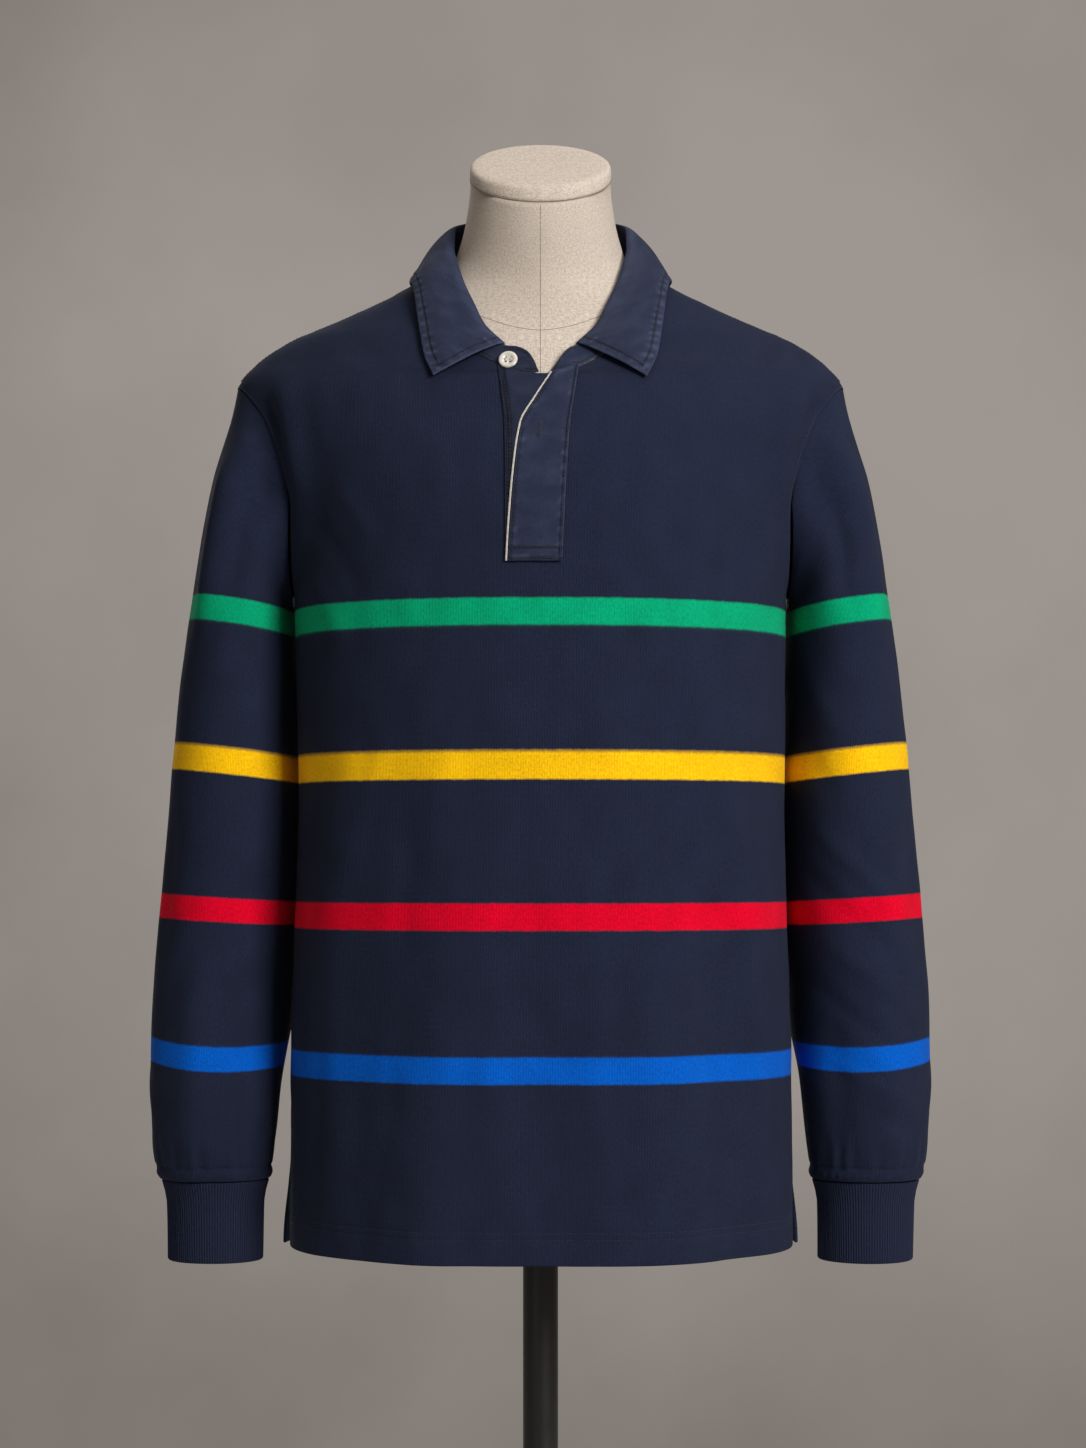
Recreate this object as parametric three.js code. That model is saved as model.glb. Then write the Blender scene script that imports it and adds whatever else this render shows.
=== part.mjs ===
import * as THREE from 'three';

// Rugby shirt on a limbless dress form, on a pole and a round base.
// Millimetres, +Z up, floor at z = 0 under the pole, front at -Y, wearer's left at +X.

// Driving sizes of the cloth
const clothWall = 1.8;
const hemWall = 2.8;
const hemBand = 24;
const cuffWall = 2.6;
const collarWall = 1.8;
const placketWall = 1.3;
const standTopDrop = 1.6;
const standSeamGap = 1;
const seamGap = 0.3;
const sleeveSeamGap = 0.6;
const underarmLap = 2.2;
const hemHeight = 671;
const ventHeight = 44;
const ventGap = 3;
const ventFlare = 6;

// Driving sizes of the armhole, the shoulder seam and the neckline
const underarmHeight = 1165;
const shoulderPointHeight = 1323;
const shoulderSeamForward = 7;
const armholeFront = 56;
const armholeBack = 60;
const armholeFlare = 8;
const necklineHalfWidth = 92;
const necklineFront = 114;
const necklineBack = 74;

// Driving sizes of the form, the pole and the base
const formBottom = 731;
const formHalfWidthLimit = 196;
const capTilt = 0.543;
const capHeight = 1491;
const capForward = 15;
const capHalfWidth = 53.5;
const capHalfDepth = 51;
const capThickness = 10;
const poleRadius = 13.4;
const socketRadius = 30;
const socketHeight = 26;
const flangeRadius = 34;
const flangeHeight = 22;
const baseRadius = 175;
const baseThickness = 10;

// Driving sizes of the cuffs and the button
const cuffTop = 720.9;
const cuffBottom = 659;
const cuffCentre = 248.6;
const cuffTopRadius = 40.6;
const cuffWaist = 704;
const cuffWaistRadius = 36.6;
const cuffBottomRadius = 35.4;
const cuffRibs = 68;
const cuffRibRise = 0.55;
const buttonRadius = 7;
const buttonThickness = 2.6;
const buttonEdge = 0.6;
const buttonShank = 1.4;
const buttonStation = 3.6;
const buttonHeightShare = 0.22;
const buttonHoleRadius = 0.9;
const buttonHoleSpread = 1.7;

// Level sections of the shirt body, carried on as the neck of the form
const bodySections = [
  { z: 671, halfWidth: 191, front: 147, back: 130, power: 2.25 },
  { z: 720, halfWidth: 191, front: 147.5, back: 128, power: 2.25 },
  { z: 858, halfWidth: 189, front: 148, back: 123, power: 2.25 },
  { z: 931, halfWidth: 186.5, front: 147.5, back: 122, power: 2.25 },
  { z: 1010, halfWidth: 184.5, front: 148, back: 124, power: 2.25 },
  { z: 1086, halfWidth: 185.5, front: 150, back: 127, power: 2.25 },
  { z: 1154, halfWidth: 187, front: 151, back: 130, power: 2.25 },
  { z: 1200, halfWidth: 188.5, front: 150, back: 131.5, power: 2.25 },
  { z: 1228, halfWidth: 190, front: 147.5, back: 131.5, power: 2.25 },
  { z: 1255, halfWidth: 199, front: 141.5, back: 131, power: 2.2 },
  { z: 1291, halfWidth: 216, front: 128, back: 127, power: 2.1 },
  { z: 1323, halfWidth: 231.5, front: 111, back: 120.5, power: 1.9 },
  { z: 1340, halfWidth: 219, front: 98, back: 116, power: 1.8 },
  { z: 1358, halfWidth: 194, front: 86, back: 108, power: 1.7 },
  { z: 1369, halfWidth: 169, front: 80, back: 100, power: 1.62 },
  { z: 1384, halfWidth: 135, front: 75, back: 90, power: 1.54 },
  { z: 1402, halfWidth: 99, front: 71, back: 76, power: 1.5 },
  { z: 1423, halfWidth: 67, front: 69, back: 63, power: 1.85 },
  { z: 1453, halfWidth: 58, front: 69, back: 53, power: 2 },
  { z: 1483, halfWidth: 54.5, front: 66.5, back: 44, power: 2 },
  { z: 1525, halfWidth: 53, front: 65, back: 36, power: 2 },
];

// How far the form lies inside the shirt, and how much lower its shoulders are
const formInsets = [
  { z: 731, side: 34, front: 36, back: 27, drop: 0 },
  { z: 800, side: 31, front: 32, back: 24, drop: 0 },
  { z: 960, side: 45, front: 47, back: 32, drop: 0 },
  { z: 1140, side: 25, front: 23, back: 19, drop: 0 },
  { z: 1228, side: 19, front: 15, back: 13, drop: 0 },
  { z: 1291, side: 12, front: 6, back: 6, drop: 1.2 },
  { z: 1323, side: 4, front: 1.8, back: 2, drop: 2.7 },
  { z: 1376, side: 1.2, front: 2.2, back: 2, drop: 3.1 },
  { z: 1402, side: 2, front: 3, back: 3, drop: 5 },
  { z: 1436, side: 0, front: 0, back: 0, drop: 0 },
];

// Heights of the rings that make the form, with the forward tilt of each ring
const formRings = [
  { z: 731, tilt: 0 },
  { z: 752, tilt: 0 },
  { z: 800, tilt: 0 },
  { z: 880, tilt: 0 },
  { z: 960, tilt: 0 },
  { z: 1050, tilt: 0 },
  { z: 1140, tilt: 0 },
  { z: 1200, tilt: 0 },
  { z: 1245, tilt: 0.03 },
  { z: 1285, tilt: 0.08 },
  { z: 1312, tilt: 0.14 },
  { z: 1332, tilt: 0.2 },
  { z: 1347, tilt: 0.25 },
  { z: 1360, tilt: 0.3 },
  { z: 1372, tilt: 0.34 },
  { z: 1384, tilt: 0.38 },
  { z: 1396, tilt: 0.42 },
  { z: 1409, tilt: 0.45 },
  { z: 1424, tilt: 0.48 },
  { z: 1443, tilt: 0.51 },
  { z: 1463, tilt: 0.543 },
  { z: 1480.65, tilt: 0.543 },
];

// Sections of the left sleeve, from the shoulder point down to the cuff seam
const sleeveSections = [
  { outerZ: 1323, outerX: 230, innerX: 189.5, innerZ: 1165, front: 56, back: 60 },
  { outerZ: 1300, outerX: 235.5, innerX: 191.5, innerZ: 1161, front: 61, back: 66 },
  { outerZ: 1253, outerX: 249.8, innerX: 190.5, innerZ: 1154, front: 68, back: 75 },
  { outerZ: 1205, outerX: 258.8, innerX: 188, innerZ: 1149, front: 70, back: 79 },
  { outerZ: 1150, outerX: 267, innerX: 186.4, innerZ: 1138, front: 68, back: 80 },
  { outerZ: 1086, outerX: 276, innerX: 184.4, innerZ: 1076, front: 64, back: 76 },
  { outerZ: 1000, outerX: 284.5, innerX: 183.4, innerZ: 993, front: 60, back: 72 },
  { outerZ: 930, outerX: 291, innerX: 185.4, innerZ: 926, front: 57, back: 69 },
  { outerZ: 857, outerX: 296, innerX: 190.5, innerZ: 855, front: 57, back: 64 },
  { outerZ: 800, outerX: 297.3, innerX: 198.3, innerZ: 800, front: 56, back: 57 },
  { outerZ: 757, outerX: 296.3, innerX: 202.5, innerZ: 757, front: 52, back: 52 },
  { outerZ: 733, outerX: 293.5, innerX: 205.5, innerZ: 733, front: 46, back: 46 },
  { outerZ: 721.2, outerX: 290.4, innerX: 206.8, innerZ: 721.2, front: 41.8, back: 41.8 },
];
const sleevePower = 2.1;
const innerSideBack = 50;

// Stations of the collar from the front end to the centre back: the place on the
// neckline, the roll at the top of the stand and the outer edge of the leaf
const collarStations = [
  { seam: 17, rollX: 26.3, rollY: -98, rollZ: 1344.7, fallX: 78.3, fallY: -113, fallZ: 1317.4 },
  { seam: 27, rollX: 41.7, rollY: -87, rollZ: 1360.3, fallX: 85.5, fallY: -98, fallZ: 1334 },
  { seam: 36, rollX: 50, rollY: -74, rollZ: 1377.4, fallX: 89.5, fallY: -82, fallZ: 1353 },
  { seam: 47, rollX: 58.7, rollY: -56, rollZ: 1397, fallX: 92.8, fallY: -65, fallZ: 1373 },
  { seam: 60, rollX: 64.4, rollY: -38, rollZ: 1414.8, fallX: 95, fallY: -49, fallZ: 1389 },
  { seam: 72, rollX: 68.3, rollY: -18, rollZ: 1430, fallX: 98, fallY: -30, fallZ: 1400 },
  { seam: 90, rollX: 69, rollY: 8, rollZ: 1449, fallX: 101, fallY: 8, fallZ: 1406 },
  { seam: 112, rollX: 62, rollY: 32, rollZ: 1457, fallX: 94, fallY: 42, fallZ: 1403 },
  { seam: 140, rollX: 40, rollY: 52, rollZ: 1462.5, fallX: 58, fallY: 75, fallZ: 1400 },
  { seam: 180, rollX: 0, rollY: 60, rollZ: 1465, fallX: 0, fallY: 88, fallZ: 1398 },
];

// Stations of the rounded end of the collar stand, from its tip to the leaf
const standEndStations = [
  { seam: 2, rollX: 3.5, rollY: -115, rollZ: 1321.5 },
  { seam: 4.5, rollX: 7, rollY: -112.5, rollZ: 1331 },
  { seam: 8, rollX: 11.5, rollY: -108.5, rollZ: 1338.5 },
  { seam: 12.5, rollX: 18.5, rollY: -103.5, rollZ: 1343 },
];

// Stations of the whole stand, of which the first ones carry no leaf
const standStations = [
  ...standEndStations.map((row) => ({ ...row, fallX: 0, fallY: 0, fallZ: 0 })),
  ...collarStations,
];

// The top placket from the neckline down to its box: its edge and its stitched side
const placketRows = [
  { z: 1317, edgeX: 6.4, sewnX: 25.6 },
  { z: 1298, edgeX: -5.4, sewnX: 22.6 },
  { z: 1277, edgeX: -15.6, sewnX: 19.4 },
  { z: 1237, edgeX: -20.9, sewnX: 16.8 },
  { z: 1190, edgeX: -24.4, sewnX: 14.6 },
  { z: 1178, edgeX: -25, sewnX: 14.2 },
];

// The strip of the under placket that shows: its sewn side and its end under the top one
const underPlacketRows = [
  { z: 1316, edgeX: -31.5, sewnX: 8 },
  { z: 1298, edgeX: -29, sewnX: 8 },
  { z: 1277, edgeX: -26.5, sewnX: 6 },
  { z: 1237, edgeX: -25.6, sewnX: 4 },
  { z: 1191, edgeX: -25.6, sewnX: 2 },
];

// Largest folds of the body: straight soft ridges (lift above 0) and troughs (below 0)
const bodyFolds = [
  { side: 'front', fromX: 193, fromZ: 1322, toX: 179, toZ: 1225, width: 11, lift: 4.5 },
  { side: 'front', fromX: 206, fromZ: 1306, toX: 190, toZ: 1232, width: 9, lift: -7 },
  { side: 'front', fromX: -192, fromZ: 1322, toX: -178, toZ: 1225, width: 11, lift: 4.5 },
  { side: 'front', fromX: -206, fromZ: 1306, toX: -190, toZ: 1232, width: 9, lift: -7 },
  { side: 'front', fromX: 138, fromZ: 1055, toX: 176, toZ: 780, width: 17, lift: 4 },
  { side: 'front', fromX: 118, fromZ: 960, toX: 150, toZ: 671, width: 24, lift: -4 },
  { side: 'front', fromX: -142, fromZ: 1030, toX: -176, toZ: 790, width: 17, lift: 4 },
  { side: 'front', fromX: -120, fromZ: 930, toX: -140, toZ: 671, width: 24, lift: -4 },
  { side: 'front', fromX: 70, fromZ: 900, toX: 84, toZ: 671, width: 26, lift: 3.5 },
  { side: 'front', fromX: -66, fromZ: 880, toX: -84, toZ: 671, width: 26, lift: 3.5 },
  { side: 'front', fromX: 4, fromZ: 860, toX: -2, toZ: 671, width: 30, lift: -3 },
  { side: 'back', fromX: 60, fromZ: 1260, toX: 82, toZ: 700, width: 26, lift: 5 },
  { side: 'back', fromX: 22, fromZ: 1120, toX: 30, toZ: 671, width: 24, lift: -5 },
  { side: 'back', fromX: -34, fromZ: 1180, toX: -36, toZ: 671, width: 24, lift: 5 },
  { side: 'back', fromX: -86, fromZ: 1230, toX: -98, toZ: 671, width: 26, lift: -5 },
  { side: 'back', fromX: 128, fromZ: 1190, toX: 140, toZ: 671, width: 22, lift: -4 },
];

// Largest folds of a sleeve: ridges and troughs along it at an angle from the outer side
const sleeveFolds = [
  { angle: 52, topZ: 1300, endZ: 1130, width: 15, lift: 5 },
  { angle: 84, topZ: 1290, endZ: 1150, width: 14, lift: -5 },
  { angle: 300, topZ: 1290, endZ: 1120, width: 16, lift: 4 },
  { angle: 30, topZ: 1010, endZ: 880, width: 16, lift: -3.5 },
  { angle: 75, topZ: 900, endZ: 735, width: 16, lift: 3.5 },
  { angle: 118, topZ: 850, endZ: 735, width: 15, lift: -3 },
  { angle: 250, topZ: 900, endZ: 735, width: 18, lift: -3.5 },
  { angle: 300, topZ: 860, endZ: 735, width: 18, lift: 3 },
];

// Grid counts
const panelColumns = [0, 0.1, 0.2, 0.3, 0.4, 0.5, 0.6, 0.69, 0.77, 0.84, 0.9, 0.95, 1];
const lowerPanelRows = 11;
const armholeRows = 10;
const shoulderRows = 8;
const sleeveColumns = 20;
const sleeveRings = 19;
const collarColumns = 18;
const collarRows = 5;
const standRows = 2;
const roundSides = 32;

const toRadians = THREE.MathUtils.degToRad;
const lerp = THREE.MathUtils.lerp;
const clamp = THREE.MathUtils.clamp;
const smoothstep = THREE.MathUtils.smoothstep;

// Value of one column of a table at a place along its key column, without overshoot
function tableValue(rows, key, column, place) {
  const rising = rows[rows.length - 1][key] > rows[0][key];
  const ordered = rising ? rows : [...rows].reverse();
  const last = ordered.length - 1;
  if (place <= ordered[0][key]) return ordered[0][column];
  if (place >= ordered[last][key]) return ordered[last][column];
  let index = 0;
  while (ordered[index + 1][key] < place) index += 1;
  const chord = (i) => (ordered[i + 1][column] - ordered[i][column]) / (ordered[i + 1][key] - ordered[i][key]);
  const slope = (i) => {
    if (i === 0) return chord(0);
    if (i === last) return chord(last - 1);
    const before = chord(i - 1);
    const after = chord(i);
    return before * after > 0 ? (2 * before * after) / (before + after) : 0;
  };
  const span = ordered[index + 1][key] - ordered[index][key];
  const t = (place - ordered[index][key]) / span;
  const startWeight = 2 * t ** 3 - 3 * t ** 2 + 1;
  const endWeight = 3 * t ** 2 - 2 * t ** 3;
  const startSlope = (t ** 3 - 2 * t ** 2 + t) * span * slope(index);
  const endSlope = (t ** 3 - t ** 2) * span * slope(index + 1);
  return startWeight * ordered[index][column] + endWeight * ordered[index + 1][column] + startSlope + endSlope;
}

// Power of a number that keeps its sign
function signedPower(value, power) {
  return Math.sign(value) * Math.abs(value) ** power;
}

// Half width, depths and squareness of the body at a height
function bodySection(z) {
  const section = {};
  for (const column of ['halfWidth', 'front', 'back', 'power']) {
    section[column] = tableValue(bodySections, 'z', column, z);
  }
  return section;
}

// Point of a section at an angle: 0 at the centre front, 90 at the wearer's left
function sectionPoint(section, angle, z) {
  const depth = Math.cos(angle) > 0 ? section.front : section.back;
  const x = section.halfWidth * signedPower(Math.sin(angle), 2 / section.power);
  const y = -depth * signedPower(Math.cos(angle), 2 / section.power);
  return new THREE.Vector3(x, y, z);
}

// Angle at which a section reaches a given depth on the wearer's left
function sectionAngle(section, y) {
  const depth = y < 0 ? section.front : section.back;
  return Math.acos(clamp(signedPower(-y / depth, section.power / 2), -1, 1));
}

// How far outside the body a point lies, as a ratio that is 1 on the body
function bodyRatio(point) {
  const section = bodySection(point.z);
  const depth = point.y < 0 ? section.front : section.back;
  const across = (Math.abs(point.x) / section.halfWidth) ** section.power;
  const along = (Math.abs(point.y) / depth) ** section.power;
  return (across + along) ** (1 / section.power);
}

// Direction straight out of the body at a point
function bodyNormal(point) {
  const step = 0.5;
  const normal = new THREE.Vector3();
  for (const axis of ['x', 'y', 'z']) {
    const ahead = point.clone();
    const behind = point.clone();
    ahead[axis] += step;
    behind[axis] -= step;
    normal[axis] = bodyRatio(ahead) - bodyRatio(behind);
  }
  return normal.normalize();
}

// Lift of all folds of one side of the body at a place on it
function bodyFoldLift(side, x, z) {
  let lift = 0;
  for (const fold of bodyFolds.filter((row) => row.side === side)) {
    const along = new THREE.Vector2(fold.toX - fold.fromX, fold.toZ - fold.fromZ);
    const offset = new THREE.Vector2(x - fold.fromX, z - fold.fromZ);
    const place = offset.dot(along) / along.lengthSq();
    const across = Math.abs(offset.cross(along)) / along.length();
    const fadeIn = smoothstep(place, -0.12, 0.25);
    const fadeOut = fold.toZ <= hemHeight ? 1 : 1 - smoothstep(place, 0.75, 1.12);
    lift += fold.lift * fadeIn * fadeOut * Math.exp(-((across / fold.width) ** 2));
  }
  return lift;
}

// Point of the armhole seam: 0 at the shoulder point, 90 at the front, 180 under the arm
function armholePoint(angle) {
  const height = (1 + Math.cos(angle)) / 2;
  const z = lerp(underarmHeight, shoulderPointHeight, height);
  const reach = Math.sin(angle) > 0 ? armholeFront : armholeBack;
  const y = -shoulderSeamForward * height - reach * Math.sin(angle);
  const section = bodySection(z);
  const point = sectionPoint(section, sectionAngle(section, y), z);
  point.x += armholeFlare * Math.sin(angle) ** 2;
  return point;
}

// Point of the neckline, where an upright oval meets the shoulders; angle from the front
function necklinePoint(angle) {
  const depth = Math.cos(angle) > 0 ? necklineFront : necklineBack;
  const x = necklineHalfWidth * Math.sin(angle);
  const y = -depth * Math.cos(angle);
  let low = 1300;
  let high = 1425;
  for (let pass = 0; pass < 30; pass += 1) {
    const middle = (low + high) / 2;
    if (bodyRatio(new THREE.Vector3(x, y, middle)) < 1) low = middle;
    else high = middle;
  }
  return new THREE.Vector3(x, y, low);
}

// Point on the body nearest to a wanted place, found along the level line to the middle
function ontoBody(point) {
  const ratio = bodyRatio(point);
  return new THREE.Vector3(point.x / ratio, point.y / ratio, point.z);
}

// One sheet of cloth: its outer points, the inner point below each, and its faces
class Sheet {
  constructor() {
    this.outer = [];
    this.inner = [];
    this.faces = [];
    this.known = new Map();
  }

  addPoint(outer, inner) {
    const key = [outer.x, outer.y, outer.z].map((value) => Math.round(value * 1000)).join(' ');
    if (!this.known.has(key)) {
      this.known.set(key, this.outer.length);
      this.outer.push(outer);
      this.inner.push(inner);
    }
    return this.known.get(key);
  }

  // Rows of points, each with an outer and an inner place
  addGrid(rows, closedRound = false) {
    const indices = rows.map((row) => row.map((cell) => this.addPoint(cell.outer, cell.inner)));
    const columns = indices[0].length;
    for (let row = 0; row + 1 < indices.length; row += 1) {
      for (let column = 0; column < (closedRound ? columns : columns - 1); column += 1) {
        const next = (column + 1) % columns;
        const corner = [indices[row][column], indices[row][next], indices[row + 1][next], indices[row + 1][column]];
        this.addFace(corner[0], corner[1], corner[2]);
        this.addFace(corner[0], corner[2], corner[3]);
      }
    }
  }

  addFace(a, b, c) {
    if (a !== b && b !== c && c !== a) this.faces.push([a, b, c]);
  }

  // Both faces of the sheet with a rim along every open edge
  toGeometry() {
    const offset = this.outer.length;
    const triangles = [];
    const edges = new Map();
    for (const [a, b, c] of this.faces) {
      triangles.push([a, b, c], [a + offset, c + offset, b + offset]);
      for (const [from, to] of [[a, b], [b, c], [c, a]]) edges.set(`${from} ${to}`, [from, to]);
    }
    for (const [from, to] of edges.values()) {
      if (!edges.has(`${to} ${from}`)) {
        triangles.push([to, from, from + offset], [to, from + offset, to + offset]);
      }
    }
    return solidGeometry([...this.outer, ...this.inner], triangles);
  }
}

// Closed geometry from points and triangles, turned so that its faces point out
function solidGeometry(points, triangles) {
  let volume = 0;
  for (const [a, b, c] of triangles) {
    volume += points[a].dot(points[b].clone().cross(points[c])) / 6;
  }
  const turned = volume < 0 ? triangles.map(([a, b, c]) => [a, c, b]) : triangles;
  const geometry = new THREE.BufferGeometry();
  const positions = points.flatMap((point) => [point.x, point.y, point.z]);
  geometry.setAttribute('position', new THREE.Float32BufferAttribute(positions, 3));
  geometry.setIndex(turned.flat());
  geometry.computeVertexNormals();
  return geometry;
}

// Closed solid through rings of points, with a flat fan at each end
function ringSolid(rings) {
  const columns = rings[0].length;
  const points = rings.flat();
  const triangles = [];
  for (let ring = 0; ring + 1 < rings.length; ring += 1) {
    for (let column = 0; column < columns; column += 1) {
      const next = (column + 1) % columns;
      const low = ring * columns;
      const high = low + columns;
      triangles.push([low + column, low + next, high + next], [low + column, high + next, high + column]);
    }
  }
  for (const [ring, turned] of [[0, true], [rings.length - 1, false]]) {
    const centre = rings[ring].reduce((sum, point) => sum.add(point), new THREE.Vector3()).divideScalar(columns);
    const hub = points.length;
    points.push(centre);
    for (let column = 0; column < columns; column += 1) {
      const near = ring * columns + column;
      const far = ring * columns + ((column + 1) % columns);
      triangles.push(turned ? [hub, far, near] : [hub, near, far]);
    }
  }
  return solidGeometry(points, triangles);
}

// Thickness of a body panel, which is greater over the turned hem
function panelWall(z) {
  return z < hemHeight + hemBand + 1 ? hemWall : clothWall;
}

// Cell of a body panel at a place on the body, lifted by the folds of its side
function panelCell(side, point, edgeFade = 1) {
  const normal = bodyNormal(point);
  const lift = bodyFoldLift(side, point.x, point.z) * edgeFade;
  const outer = point.clone().addScaledVector(normal, lift);
  return { outer, inner: outer.clone().addScaledVector(normal, -panelWall(point.z)) };
}

// Far end of a panel row: side seam, then armhole, then shoulder seam, on the left side
function panelEdge(side, row) {
  const sign = side === 'front' ? -1 : 1;
  const half = seamGap / 2;
  if (row <= lowerPanelRows) {
    const z = lerp(hemHeight, underarmHeight, (row / lowerPanelRows) ** 0.94);
    const open = z < hemHeight + ventHeight ? ventGap / 2 : half;
    const section = bodySection(z);
    const point = sectionPoint(section, sectionAngle(section, sign * open), z);
    if (side === 'back') point.x += ventFlare * (1 - smoothstep(z, hemHeight, hemHeight + ventHeight + 30));
    return point;
  }
  if (row <= lowerPanelRows + armholeRows) {
    const turn = Math.PI * (1 - (row - lowerPanelRows) / armholeRows);
    const point = armholePoint(side === 'front' ? turn : -turn);
    point.y += sign * half;
    return point;
  }
  const place = (row - lowerPanelRows - armholeRows) / shoulderRows;
  const neckEnd = necklinePoint(sectionAngle({ front: necklineFront, back: necklineBack, power: 2 }, -shoulderSeamForward));
  const x = lerp(armholePoint(0).x, neckEnd.x, place);
  const y = -shoulderSeamForward + sign * half;
  return shoulderPoint(x, y);
}

// Point of the shoulder at a place seen from above, found between the armhole and the neck
function shoulderPoint(x, y) {
  let low = shoulderPointHeight;
  let high = 1425;
  for (let pass = 0; pass < 30; pass += 1) {
    const middle = (low + high) / 2;
    if (bodyRatio(new THREE.Vector3(x, y, middle)) < 1) low = middle;
    else high = middle;
  }
  return new THREE.Vector3(x, y, low);
}

// Near end of a panel row: the centre line, then the neckline up to the shoulder seam
function panelMiddle(side, row) {
  const sign = side === 'front' ? -1 : 1;
  const neckRow = lowerPanelRows + armholeRows;
  const centre = necklinePoint(side === 'front' ? 0 : Math.PI);
  if (row <= neckRow) {
    const z = row <= lowerPanelRows
      ? lerp(hemHeight, underarmHeight, (row / lowerPanelRows) ** 0.94)
      : lerp(underarmHeight, centre.z, (row - lowerPanelRows) / armholeRows);
    const section = bodySection(z);
    return new THREE.Vector3(0, sign * (side === 'front' ? section.front : section.back), z);
  }
  const seamSection = { front: necklineFront, back: necklineBack, power: 2 };
  const end = sectionAngle(seamSection, -shoulderSeamForward + (sign * seamGap) / 2);
  const start = side === 'front' ? 0 : Math.PI;
  return necklinePoint(lerp(start, end, (row - neckRow) / shoulderRows));
}

// One half of a body panel, as rows of cells from the middle to the edge
function panelHalf(side, mirror) {
  const rows = [];
  const lastRow = lowerPanelRows + armholeRows + shoulderRows;
  for (let row = 0; row <= lastRow; row += 1) {
    const middle = panelMiddle(side, row);
    const edge = panelEdge(side, row);
    const onSection = ontoBody(edge);
    const flare = edge.clone().sub(onSection);
    const startAngle = Math.abs(middle.x) < 0.01 ? (side === 'front' ? 0 : Math.PI) : placeAngle(middle);
    const endAngle = placeAngle(onSection);
    const cells = panelColumns.map((across) => {
      const z = lerp(middle.z, edge.z, across);
      const point = sectionPoint(bodySection(z), lerp(startAngle, endAngle, across), z);
      point.addScaledVector(flare, smoothstep(across, 0.72, 1) ** 2);
      if (across === 0 || row === lastRow) point.copy(middle);
      else if (across === 1) point.copy(edge);
      point.x *= mirror;
      return panelCell(side, point, 1 - smoothstep(across, 0.93, 1));
    });
    rows.push(mirror > 0 ? cells : cells.reverse());
  }
  return rows;
}

// Angle of a place on its own section
function placeAngle(point) {
  return sectionAngle(bodySection(point.z), point.y);
}

function bodyPanel(side) {
  const sheet = new Sheet();
  sheet.addGrid(panelHalf(side, 1));
  sheet.addGrid(panelHalf(side, -1));
  return sheet.toGeometry();
}

// Lift of all folds of a sleeve at an angle around it and a height
function sleeveFoldLift(angle, z) {
  let lift = 0;
  for (const fold of sleeveFolds) {
    const away = Math.abs(((THREE.MathUtils.radToDeg(angle) - fold.angle + 540) % 360) - 180);
    const place = (fold.topZ - z) / (fold.topZ - fold.endZ);
    const fade = smoothstep(place, -0.15, 0.3) * (1 - smoothstep(place, 0.7, 1.15));
    lift += fold.lift * fade * Math.exp(-((away / fold.width) ** 2));
  }
  return lift;
}

// Point of the left sleeve at a section, by angle from its outer side round the front.
// Beside the body its inner side lies further back, behind the widest place of the body.
function sleevePoint(outerZ, angle) {
  const section = {};
  for (const column of ['outerX', 'innerX', 'innerZ', 'front', 'back']) {
    section[column] = tableValue(sleeveSections, 'outerZ', column, outerZ);
  }
  const place = (1 + signedPower(Math.cos(angle), 2 / sleevePower)) / 2;
  const depth = Math.sin(angle) > 0 ? section.front : section.back;
  const beside = (1 - smoothstep(outerZ, 1150, 1290)) * smoothstep(outerZ, 780, 880);
  const back = innerSideBack * beside * (1 - place) ** 1.5 * (1 - 0.75 * Math.abs(Math.sin(angle)));
  return new THREE.Vector3(
    lerp(section.innerX, section.outerX, place),
    back - depth * signedPower(Math.sin(angle), 2 / sleevePower),
    lerp(section.innerZ, outerZ, place),
  );
}

// Heights of the outer side at which a sleeve's rings lie, closer near the armhole
function sleeveRingHeight(ring) {
  const place = ring / sleeveRings;
  return lerp(shoulderPointHeight, sleeveSections[sleeveSections.length - 1].outerZ, place ** 1.12);
}

// How far the start of the sleeve is flush with the panels, from 0 under the arm to 1 on top
function flushShare(angle) {
  return clamp(Math.cos(angle) * 1.6 + 0.6, 0, 1);
}

// Start of the sleeve beside the armhole seam, which laps outside the body under the arm
function sleeveStart(angle) {
  const seam = armholePoint(angle);
  const along = armholePoint(angle + 0.02).sub(armholePoint(angle - 0.02));
  const away = bodyNormal(seam).cross(along).normalize();
  seam.addScaledVector(away, sleeveSeamGap * flushShare(angle));
  seam.x += underarmLap * (1 - flushShare(angle));
  return seam;
}

function sleeveRingPoint(ring, angle) {
  const outerZ = sleeveRingHeight(ring);
  const plain = sleevePoint(outerZ, angle);
  const start = sleevePoint(shoulderPointHeight, angle);
  const pull = Math.max(0, 1 - ring / 2.5) ** 2;
  plain.addScaledVector(sleeveStart(angle).sub(start), pull);
  return plain;
}

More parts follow.
